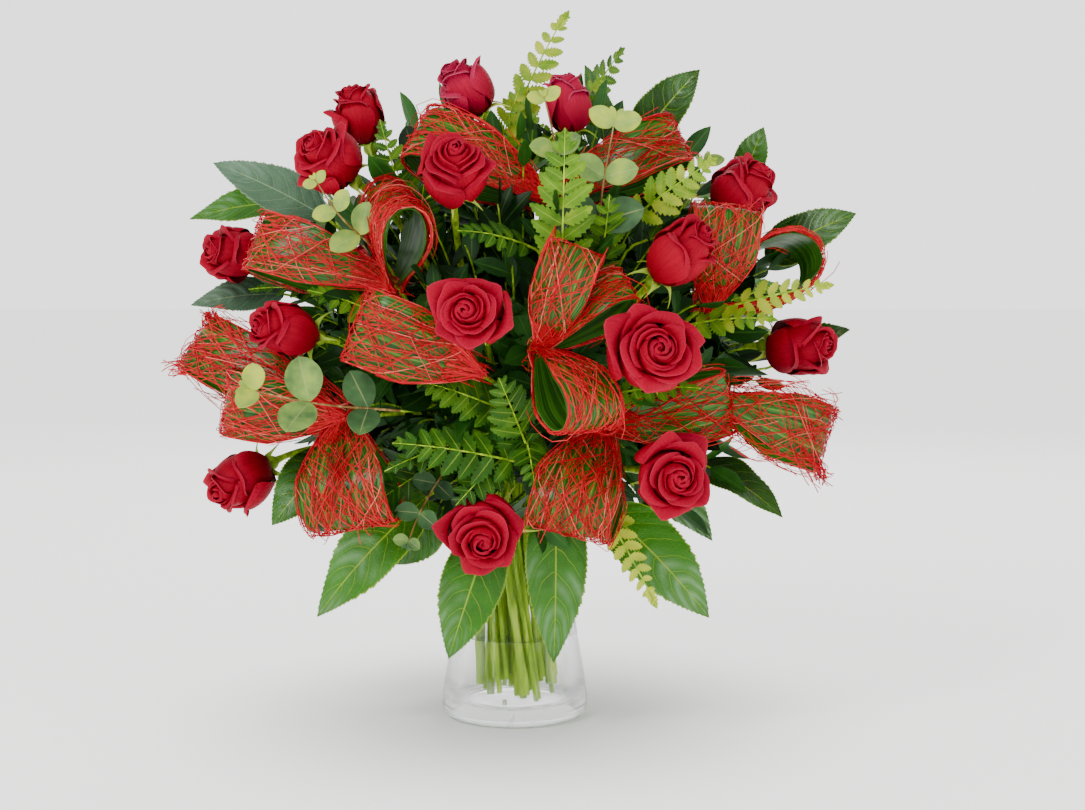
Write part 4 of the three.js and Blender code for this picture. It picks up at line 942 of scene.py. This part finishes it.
# Smaller fronds that fill the gaps between the flowers: hub, root, tip, face, width, pairs, tone.
fillFronds = [
    ("centre", (2, -108, 226), (-86, -144, 200), (-0.1, -0.8, 0.6), 44, 7, 0.3),
    ("centre", (0, -112, 236), (-66, -146, 262), (0, -0.85, 0.5), 46, 7, 0.42),
    ("centre", (2, -110, 214), (-38, -138, 176), (0, -0.9, 0.4), 44, 6, 0.25),
    ("centre", (8, -110, 226), (16, -150, 190), (0.1, -0.9, 0.4), 36, 6, 0.3),
    ("right", (60, -100, 330), (66, -142, 386), (0.1, -0.9, 0.3), 40, 6, 0.5),
    ("right", (92, -90, 356), (150, -100, 366), (0.1, -0.8, 0.5), 34, 6, 0.35),
    ("right", (70, -112, 250), (128, -140, 256), (0, -0.8, 0.6), 34, 6, 0.5),
    ("left", (-84, -88, 300), (-140, -118, 322), (-0.1, -0.8, 0.6), 38, 6, 0.5),
    ("left", (-66, -78, 350), (-60, -118, 394), (0, -0.95, 0.3), 36, 6, 0.25),
    ("left", (-80, -84, 262), (-118, -122, 290), (-0.2, -0.9, 0.4), 36, 6, 0.2),
    ("right", (124, -100, 298), (182, -122, 302), (0, -0.8, 0.6), 32, 6, 0.7),
    ("right", (128, -20, 300), (196, 26, 322), (0.8, -0.2, 0.6), 46, 7, 0.6),
    ("right", (120, -10, 236), (176, 40, 214), (0.8, 0.1, 0.4), 44, 7, 0.35),
    ("right", (122, 10, 346), (176, 60, 400), (0.7, 0.1, 0.7), 44, 7, 0.45),
    ("left", (-128, 10, 292), (-200, 46, 284), (-0.7, 0.1, 0.6), 46, 7, 0.5),
    ("left", (-112, 30, 236), (-160, 76, 196), (-0.7, 0.5, 0.4), 44, 7, 0.35),
    ("left", (-92, -44, 250), (-150, -64, 288), (-0.3, -0.8, 0.5), 48, 7, 0.2),
    ("left", (-92, -44, 232), (-152, -70, 240), (-0.2, -0.9, 0.3), 48, 7, 0.15),
    ("left", (-40, -84, 206), (-90, -110, 178), (-0.1, -0.9, 0.3), 44, 6, 0.2),
    ("top", (-14, -30, 412), (6, -42, 470), (0, -0.95, 0.3), 36, 6, 0.8),
    ("top", (24, -26, 424), (66, -40, 476), (0, -0.95, 0.3), 34, 6, 0.7),
    ("top", (60, 92, 350), (96, 146, 410), (0.2, 0.8, 0.6), 44, 7, 0.5),
    ("top", (-50, 96, 300), (-112, 152, 296), (-0.2, 0.9, 0.3), 46, 7, 0.6),
    ("top", (56, 104, 262), (112, 154, 240), (0.3, 0.9, 0.2), 44, 7, 0.35),
    ("top", (6, 112, 250), (-16, 168, 206), (0, 0.95, 0.3), 42, 7, 0.45),
    ("top", (8, 40, 410), (4, 70, 474), (0, 0.6, 0.7), 44, 7, 0.65),
    ("top", (20, -30, 400), (62, -60, 452), (0, -0.9, 0.4), 34, 6, 0.3),
    ("top", (-20, -30, 400), (-58, -60, 446), (0, -0.9, 0.4), 34, 6, 0.3),
]
fernSets = [(name, [(name, *spec) for spec in fronds], len(name) * 11 + 3)
            for name, (_, fronds) in fernSprays.items()]
fillSpecs = [(f"fern_{side}", *spec) for side, *spec in fillFronds]
for name, fronds, seed in [*fernSets, ("fern_fill", fillSpecs, 58)]:
    ribs, leaflets = sprayParts(name, fronds, frondParts, np.random.default_rng(seed))
    title, nodes = titleOf(name), [name] if name in hubs else []
    makePiece(f"fernRibs{title}", ribs, [barkGreen], nodes)
    makePiece(f"fernLeaflets{title}", leaflets, [fernGreen], nodes, frond["thickness"])
print("ferns made")

sprig = {"leafWidth": 0.86, "spread": 0.35, "tilt": 0.25, "firstLeaf": 0.2, "lastLeaf": 0.95, "bud": 0.5,
         "thickness": 0.5, "fillTones": (0.25, 0.75)}
roundGrid = flatGrid(10, 12)


def roundLeafPoints(root, tip, face, width, random):
    u, v, _ = roundGrid
    rib, _, side, up, _ = ribFrame(root, tip, face, 0.06, v)
    half = width / 2 * np.sin(math.pi * np.clip(v, 0.0005, 0.9995)) ** 0.6
    cup = 0.1 * half * np.abs(u) ** 1.5 + random.uniform(-0.6, 1.4) * u ** 2 * np.sin(math.pi * v)
    return moved(rib, (side, half * u), (up, cup))


def catmull(points, t):
    # Through the points, as a smooth path.
    points = [vec(p) for p in points]
    padded = [2 * points[0] - points[1], *points, 2 * points[-1] - points[-2]]
    spans = len(points) - 1
    i = min(int(t * spans), spans - 1)
    f = t * spans - i
    p0, p1, p2, p3 = padded[i:i + 4]
    return 0.5 * (2 * p1 + (p2 - p0) * f + (2 * p0 - 5 * p1 + 4 * p2 - p3) * f * f
                  + (3 * p1 - p0 - 3 * p2 + p3) * f ** 3)


def sprigParts(hub, path, face, sizes, toneFrom, toneTo, random):
    # The sprig's twig, the branch that carries it, pairs of round leaves and two small ones at the tip.
    face = unit(vec(face))
    line = np.array([catmull(path, t) for t in np.linspace(0, 1, 24)])
    twigs = [taperPart(line, 0.9, 0.45, 7, finish=1),
             branchPart(hub, line[0], unit(line[1] - line[0]), 1.1, 0.9, 7)]
    leaves = []
    for k, size in enumerate(sizes):
        order = k / max(1, len(sizes) - 1)
        share = lerp(sprig["firstLeaf"], sprig["lastLeaf"], order)
        node = catmull(path, share)
        along = unit(catmull(path, min(1, share + 0.02)) - catmull(path, share - 0.02))
        side = unit(np.cross(along, face))
        for hand in (-1, 1):
            tip = node + (side * hand + along * sprig["spread"] + face * sprig["tilt"]) * size
            tone = lerp(toneFrom, toneTo, order) + random.uniform(-0.08, 0.08)
            points = roundLeafPoints(node, tip, face, sprig["leafWidth"] * size, random)
            leaves.append(sheetPart(roundGrid, points, tone))
    for turn in (-0.6, 0.5):
        heading = turnAbout(unit(line[-1] - line[-2]), face, turn)
        tip = line[-1] + heading * sizes[-1] * sprig["bud"]
        points = roundLeafPoints(line[-1], tip, face, sizes[-1] * sprig["bud"] / 2, random)
        leaves.append(sheetPart(roundGrid, points, toneTo))
    return twigs, leaves


# Sprigs that finish the sides and the back: hub, path, face, leaf sizes.
fillSprigs = [
    ("left", ((-120, 30, 258), (-160, 46, 262), (-196, 50, 274)), (-0.7, 0.2, 0.6), (26, 28, 18)),
    ("left", ((-96, 70, 330), (-134, 96, 368), (-160, 108, 398)), (-0.6, 0.4, 0.6), (26, 24, 16)),
    ("left", ((-24, 100, 340), (-34, 140, 372), (-40, 160, 410)), (0, 0.9, 0.4), (26, 26, 16)),
    ("right", ((110, 30, 280), (152, 50, 276), (188, 60, 284)), (0.7, 0.2, 0.6), (26, 28, 18)),
    ("right", ((96, 66, 350), (132, 90, 392), (150, 100, 424)), (0.5, 0.4, 0.7), (26, 24, 16)),
    ("right", ((60, 96, 220), (96, 134, 206), (118, 150, 190)), (0.4, 0.9, 0.2), (24, 24, 16)),
]
sprigSets = [(name, [(name, *spec) for spec in sprigs], len(name))
             for name, (_, sprigs) in eucalyptusSprays.items()]
fillSpecs = [(f"eucalyptus_{side}", *spec, *sprig["fillTones"]) for side, *spec in fillSprigs]
for name, sprigs, seed in [*sprigSets, ("eucalyptus_fill", fillSpecs, 71)]:
    twigs, leaves = sprayParts(name, sprigs, sprigParts, np.random.default_rng(seed))
    title, nodes = titleOf(name), [name] if name in hubs else []
    makePiece(f"eucalyptusTwigs{title}", twigs, [barkGreen, barkBrown], nodes)
    makePiece(f"eucalyptusLeaves{title}", leaves, [eucalyptusGreen], nodes,
              sprig["thickness"])
print("eucalyptus made")

strapGrid = flatGrid(8, 72)
strap = {"armGap": 2.6, "belly": 1.25, "gapAtKnot": 0.02, "groove": 0.07, "ribs": 18, "rib": 0.25,
         "wave": 0.8, "thickness": 0.7, "knot": 4, "knotSwell": 16.5}


def loopPoint(loop, angle):
    # The strap leaves its knot, goes out over the front to the far end and comes back underneath.
    angle = np.asarray(angle, float)
    swing = loop["open"] / 2 * strap["belly"] * np.sin(angle) * np.abs(np.sin(angle / 2)) ** 1.2
    arms = strap["armGap"] / 2 * np.cos(angle / 2)
    return moved(loop["from"], (loop["out"], loop["length"] * (1 - np.cos(angle)) / 2),
                 (loop["over"], swing + arms))


def loopFrame(loop, angle):
    along = unit(loopPoint(loop, angle + 0.01) - loopPoint(loop, angle - 0.01))
    up = np.cross(loop["across"], along)
    return loopPoint(loop, angle), along, up


def halfWidth(loop, angle):
    return loop["width"] / 2 * np.minimum(1, 0.1 + 1.35 * np.abs(np.sin(angle / 2)) ** 1.5)


def makeLoop(knot, end, front, width, opened, fray):
    out, front = unit(vec(end) - vec(knot)), unit(vec(front))
    over = unit(front - out * np.dot(front, out))
    return {"from": vec(knot), "out": out, "over": over, "across": np.cross(out, over), "front": front,
            "width": width, "open": opened, "fray": fray, "length": np.linalg.norm(vec(end) - vec(knot))}


loopsOf = {name: [[makeLoop(knot, *loop) for loop in loops] for knot, loops in knots]
           for name, (_, knots) in loopSprays.items()}
for name, knots in loopsOf.items():
    random = np.random.default_rng(len(name) + 40)
    straps, twigs = [], [sprayStem(name)]
    for k, loops in enumerate(knots):
        knot = loops[0]["from"]
        if (name, k) not in tipKnots:
            thick = twig["radius"]
            twigs.append(branchPart(hubs[name], knot, unit(knot - heart), thick, thick, 8))
            height = np.linspace(-strap["knot"], strap["knot"], 9)
            swell = np.sqrt(np.maximum(strap["knotSwell"] - height ** 2, 0.5))
            twigs.append(tubePart([moved(knot, (upward, height))], [swell], 12))
        for loop in loops:
            u, v, _ = strapGrid
            angle = lerp(strap["gapAtKnot"], fullTurn - strap["gapAtKnot"], v)
            rib, along, up = loopFrame(loop, angle)
            half = halfWidth(loop, angle)
            groove = strap["groove"] * half * np.abs(u) ** 1.5 + strap["rib"] * np.cos(u * strap["ribs"])
            wave = strap["wave"] * np.sin(v * fullTurn * 3 + random.uniform(0, 6)) * u
            points = moved(rib, (loop["across"], half * u), (up, wave - groove))
            straps.append(sheetPart(strapGrid, points, random.uniform(0, 1)))
    title = titleOf(name)
    makePiece(f"loopStems{title}", twigs, [barkGreen], [name])
    makePiece(f"strapLoops{title}", straps, [strapGreen], [name], strap["thickness"], 60)
print("strap loops made")

web = {"strands": 150, "points": 12, "radius": 0.32, "length": (45, 150), "slope": 0.55,
       "steepShare": 0.18, "bow": 0.085, "lift": 1.0, "pile": 2.0, "edge": 0.97, "loose": 0.04,
       "loosePerFray": 0.03, "wispShare": 0.08, "wisp": (4, 12), "tieReach": 10, "tied": 46,
       "tieEnd": 0.62, "overlap": 1.1, "frays": 64, "frayRadius": 0.42, "frayAbove": 9}


def webStrands(loop, random):
    # Strands that wander over the outside of a loop, mostly lengthwise, and cross one another.
    # Each is laid out flat, as s along the loop and w across it, and then bent round the loop.
    table = np.linspace(0.3, fullTurn - 0.75, 160)
    rib, along, up = loopFrame(loop, table)
    arc = np.concatenate([[0], np.cumsum(np.linalg.norm(np.diff(rib, axis=0), axis=1))])
    end = arc[-1]
    count = int(web["strands"] * loop["width"] / 44 * end / 190)
    length = random.uniform(*web["length"], count)
    middle = random.uniform(-10, end + 10, count)
    slope = random.normal(0, web["slope"], count)
    steep = random.random(count) < web["steepShare"]
    slope[steep] = random.choice([-1, 1], steep.sum()) * random.uniform(0.8, 1.8, steep.sum())
    run = length / np.sqrt(1 + slope ** 2)
    t = np.linspace(-0.5, 0.5, web["points"])
    s = middle[:, None] + run[:, None] * t
    offset = random.uniform(-1.1, 1.1, count) * loop["width"] / 2
    bow = random.normal(0, web["bow"], count) * length
    w = offset[:, None] + slope[:, None] * run[:, None] * t + bow[:, None] * (4 * t ** 2 - 0.5)
    w = w + random.normal(0, 0.35, w.shape)
    inside = np.clip(s, 0, end)
    limit = halfWidth(loop, np.interp(inside, arc, table)) * web["edge"]
    # what runs past the edge turns back along it, apart from a fray of loose ends
    loose = random.random(count) < web["loose"] + web["loosePerFray"] * loop["fray"]
    slack = np.where(loose, loop["fray"], 0.8)[:, None] * random.uniform(0.3, 1, (count, 1))
    beyond = np.abs(w) - limit
    fold = limit + slack * np.tanh(beyond / np.maximum(slack, 0.1) * 0.6)
    w = np.where(beyond > 0, np.sign(w) * fold, w)
    height = web["lift"] + random.uniform(0, web["pile"], count)[:, None]
    height = height + random.normal(0, 0.12, w.shape)
    wisp = np.where(random.random(count) < web["wispShare"], random.uniform(*web["wisp"], count), 0)
    height = height + wisp[:, None] * (t + 0.5) ** 2
    bend = np.where(beyond > 0, -0.15 * np.minimum(beyond, 6), 0)
    place, upAt, alongAt = (np.stack([np.interp(inside, arc, axis) for axis in values.T], axis=-1)
                            for values in (rib, up, along))
    return moved(place, (loop["across"], w), (upAt, height + bend), (alongAt, (s - inside) * 0.25))


def tiedStrands(loop, tie, random):
    # Strands that are gathered at the tie and spread out to the start of the web.
    count = web["tied"]
    rib, _, up = loopFrame(loop, np.full(count, web["tieEnd"]))
    u = random.uniform(-1, 1, count)
    ends = moved(rib, (loop["across"], halfWidth(loop, web["tieEnd"]) * 0.95 * u),
                 (up, 1.2 + random.uniform(0, 1.6, count)))
    rib, _, up = loopFrame(loop, np.full(count, web["overlap"]))
    farther = moved(rib, (loop["across"], halfWidth(loop, web["overlap"]) * u * 1.02), (up, 1.8))
    root = tie + random.normal(0, 1.4, (count, 3))
    return strandPaths([root, lerp(root, ends, 0.5), ends, farther])


def frayStrands(loop, random):
    # Coarse loose ends that curl away from the far bend and its lower corner.
    count = web["frays"]
    angle = random.uniform(2.0, 3.7, count)
    rib, _, up = loopFrame(loop, angle)
    u = random.choice([-1, 1, 1], count) * random.uniform(0.3, 1, count) ** 0.4
    start = moved(rib, (loop["across"], halfWidth(loop, angle) * u), (up, web["lift"]))
    lower = -np.sign(loop["across"][2]) * u > 0
    far = random.uniform(3, 10, count) * np.where(lower, 1.4, 0.6)
    aside = np.sign(u) * far * random.uniform(0.2, 0.9, count)
    lean = moved(0, (loop["out"], far), (loop["across"], aside))
    curl = random.normal(0, 2.6, (count, 3))
    return strandPaths([start - lean * 0.6 + up, start, start + lean * 0.5 + curl,
                        start + lean * 0.9 - curl - upward * far[:, None] * 0.25])


def strandPaths(controls):
    # One curve for each row of the control points.
    return np.stack([bezier(points, np.linspace(0, 1, 9)) for points in zip(*controls)])


def strandPart(paths, radius, random, low=0.1, high=0.95):
    tone = np.clip(random.normal(0.58, 0.2, len(paths)), low, high)
    return tubePart(paths, radius, 3, np.repeat(tone, paths.shape[1] * 3))


for number, (name, (spray, chosen)) in enumerate(ribbons.items()):
    random = np.random.default_rng(900 + number)
    parts = []
    for k in chosen:
        loops = loopsOf[spray][k]
        facing = unit(sum(loop["front"] - 0.8 * loop["out"] for loop in loops))
        tie = loops[0]["from"] + facing * web["tieReach"]
        for loop in loops:
            parts.append(strandPart(webStrands(loop, random), web["radius"], random))
            if loop["fray"] > web["frayAbove"]:
                parts.append(strandPart(frayStrands(loop, random), web["frayRadius"], random, 0.0, 0.45))
            if (spray, k) not in tipKnots:
                parts.append(strandPart(tiedStrands(loop, tie, random), web["radius"], random, 0.05, 0.8))
    makePiece(f"web{titleOf(name)}", parts, [sisalRed], [name], smooth=70)
print("sisal web made")

# Small dark leaves between the flowers, on a rounded form a little inside the bouquet's outline.
fillerGrid = flatGrid(2, 7)
filler = {"sprigs": 205, "leaves": 12, "length": (22, 40), "width": 0.42, "thickness": 0.4,
          "centre": vec((5, -8, 286)), "reach": vec((178, 132, 172)), "root": vec((5, 0, 172)),
          "heights": (-0.76, 0.97), "lowest": 132, "steps": 20, "margin": 2.0, "strapGap": 13.0}
fillerExtra = [(-146, -34, 248), (-152, -20, 276), (-142, -44, 304), (-172, -12, 322), (-136, -40, 266),
               (-128, -48, 226), (132, -34, 320), (158, -30, 268), (150, -40, 292), (-104, -60, 190),
               (112, -62, 314), (124, -74, 326), (146, -64, 260), (136, -84, 268), (134, -60, 396),
               (142, -40, 412), (128, -40, 372), (150, -30, 384), (186, -26, 336), (176, -18, 352),
               (176, -50, 300), (172, -56, 280), (-10, -50, 440), (4, -56, 428), (60, -46, 436),
               (14, -60, 380), (0, -60, 350), (-52, -52, 170), (-64, -56, 186)]
blooms = [(rose["base"] + rose["faces"] * 0.5 * rose["depth"], rose["radius"] * 1.02) for rose in roses]
strapSpots = np.concatenate([loopPoint(loop, np.linspace(0.3, fullTurn - 0.3, 24))
                             for groups in loopsOf.values() for loops in groups for loop in loops])


def isClear(point, margin=filler["margin"], strapGap=filler["strapGap"]):
    nearBloom = any(np.linalg.norm(point - centre) < radius + margin for centre, radius in blooms)
    return not nearBloom and np.min(np.linalg.norm(strapSpots - point, axis=1)) > strapGap


def fillerEnd(k, random):
    # The first sprigs are spread evenly over the form and draw back from flowers; the rest are placed.
    if k >= filler["sprigs"]:
        end = vec(fillerExtra[k - filler["sprigs"]])
        return end, unit(end - filler["centre"])
    z = lerp(*filler["heights"], (k + 0.5) / filler["sprigs"])
    angle = math.pi * (3 - math.sqrt(5)) * k
    flat = math.sqrt(1 - z * z)
    direction = vec((flat * math.cos(angle), flat * math.sin(angle), z))
    end = filler["centre"] + direction * filler["reach"] * random.uniform(0.78, 1.02)
    for _ in range(4):
        if not isClear(end, 4, 10):
            end = lerp(filler["centre"], end, 0.9)
    return end, direction


random = np.random.default_rng(77)
leaves, twigs = [], []
last = filler["steps"] - 1
u, v, _ = fillerGrid
for k in range(filler["sprigs"] + len(fillerExtra)):
    end, direction = fillerEnd(k, random)
    root = filler["root"] + direction * (24, 24, 20)
    bend = [root, root + upward * 45 + direction * 20, end - direction * 30, end]
    path = bezier(bend, np.linspace(0, 1, filler["steps"]))
    twigs.append(path)
    sprigTone = random.uniform(0.0, 0.75)
    for i in range(filler["leaves"]):
        share = lerp(0.4, 1, i / (filler["leaves"] - 1))
        step = min(last, int(share * last))
        node = path[step]
        heading = unit(path[min(last, step + 1)] - path[step - 1])
        size = random.uniform(*filler["length"])
        away = unit(np.cross(heading, random.normal(size=3)))
        tip = node + unit(heading * 0.7 + away * (1.0 if i < filler["leaves"] - 1 else 0.1)) * size
        if tip[2] < filler["lowest"] or not isClear(tip) or not isClear((node + tip) / 2):
            continue
        face = unit(direction + 0.5 * away + 0.3 * upward)
        rib, _, side, up, _ = ribFrame(node, tip, face, 0.1, v)
        half = size * filler["width"] / 2 * np.sin(math.pi * np.clip(v, 0.004, 0.996) ** 0.85) ** 0.9
        points = moved(rib, (side, half * u), (up, 0.3 * half * np.abs(u)))
        leaves.append(sheetPart(fillerGrid, points, sprigTone + random.uniform(0, 0.25) * share))
third = len(leaves) // 3
for title, first, end in (("Low", 0, third), ("Middle", third, 2 * third), ("High", 2 * third, None)):
    makePiece(f"fillerLeaves{title}", leaves[first:end], [fillerGreen],
              thickness=filler["thickness"])
twigRadii = np.linspace(1.3, 0.6, filler["steps"])
makePiece("fillerTwigs", [tubePart(twigs, twigRadii, 5)], [barkGreen])
print("filler leaves made:", len(leaves))

# A pale paper floor that glows evenly, as in a bright product photograph, but stops glowing near the
# vase: a painted soft contact shadow round its foot.
studio = {"floor": "#fcfcfb", "floorGlow": 1.1, "nearest": 0.045, "farthest": 0.3, "paintedShadowGlow": 0.0,
          "world": "#ffffff", "band": (0.16, 0.45, 2.15, 0.75), "aim": (0, 0, 0.3)}
bpy.ops.mesh.primitive_plane_add(size=30, location=(0, 0, 0))
floor = bpy.context.active_object
floor.name = "studioFloor"
paper, spot = newMaterial("matPaper", "spot")
away = addNode(paper, "VectorMath", [spot], operation="LENGTH")["Value"]
glowFrom = [studio[key] for key in ("nearest", "farthest", "paintedShadowGlow", "floorGlow")]
# painted shadow: the glowing fades out between farthest and nearest from the vase's axis
glowLessPaintedShadow = addNode(paper, "MapRange", [away, *glowFrom], interpolation_type="SMOOTHSTEP")[0]
floor.data.materials.append(finishMaterial(paper, {
    "Base Color": studio["floor"], "Roughness": 0.85, "Specular IOR Level": 0.1,
    "Emission Color": studio["floor"], "Emission Strength": glowLessPaintedShadow}))

lights = {"keyLight": ((-1.1, -1.6, 1.7), 0.6, 31), "fillLight": ((1.7, -1.2, 0.9), 1.4, 10),
          "backLight": ((0.3, 1.8, 1.5), 1.4, 16)}
for name, (place, size, power) in lights.items():
    bpy.ops.object.light_add(type="AREA", location=place)
    light = bpy.context.active_object
    light.name = name
    light.data.size = size
    light.data.energy = power
    aim = Vector(studio["aim"]) - Vector(place)
    light.rotation_euler = aim.to_track_quat("-Z", "Y").to_euler()

world = bpy.data.worlds.new("studioWorld")
world.use_nodes = True
background = world.node_tree.nodes["Background"]
background.inputs[0].default_value = linear(studio["world"])
sky = addNode(world, "TexCoord")["Generated"]
height = addNode(world, "SeparateXYZ", [sky])[2]
band = addNode(world, "MapRange", [height, *studio["band"]])[0]  # brighter low down than overhead
world.node_tree.links.new(band, background.inputs[1])
bpy.context.scene.world = world
print("studio set")
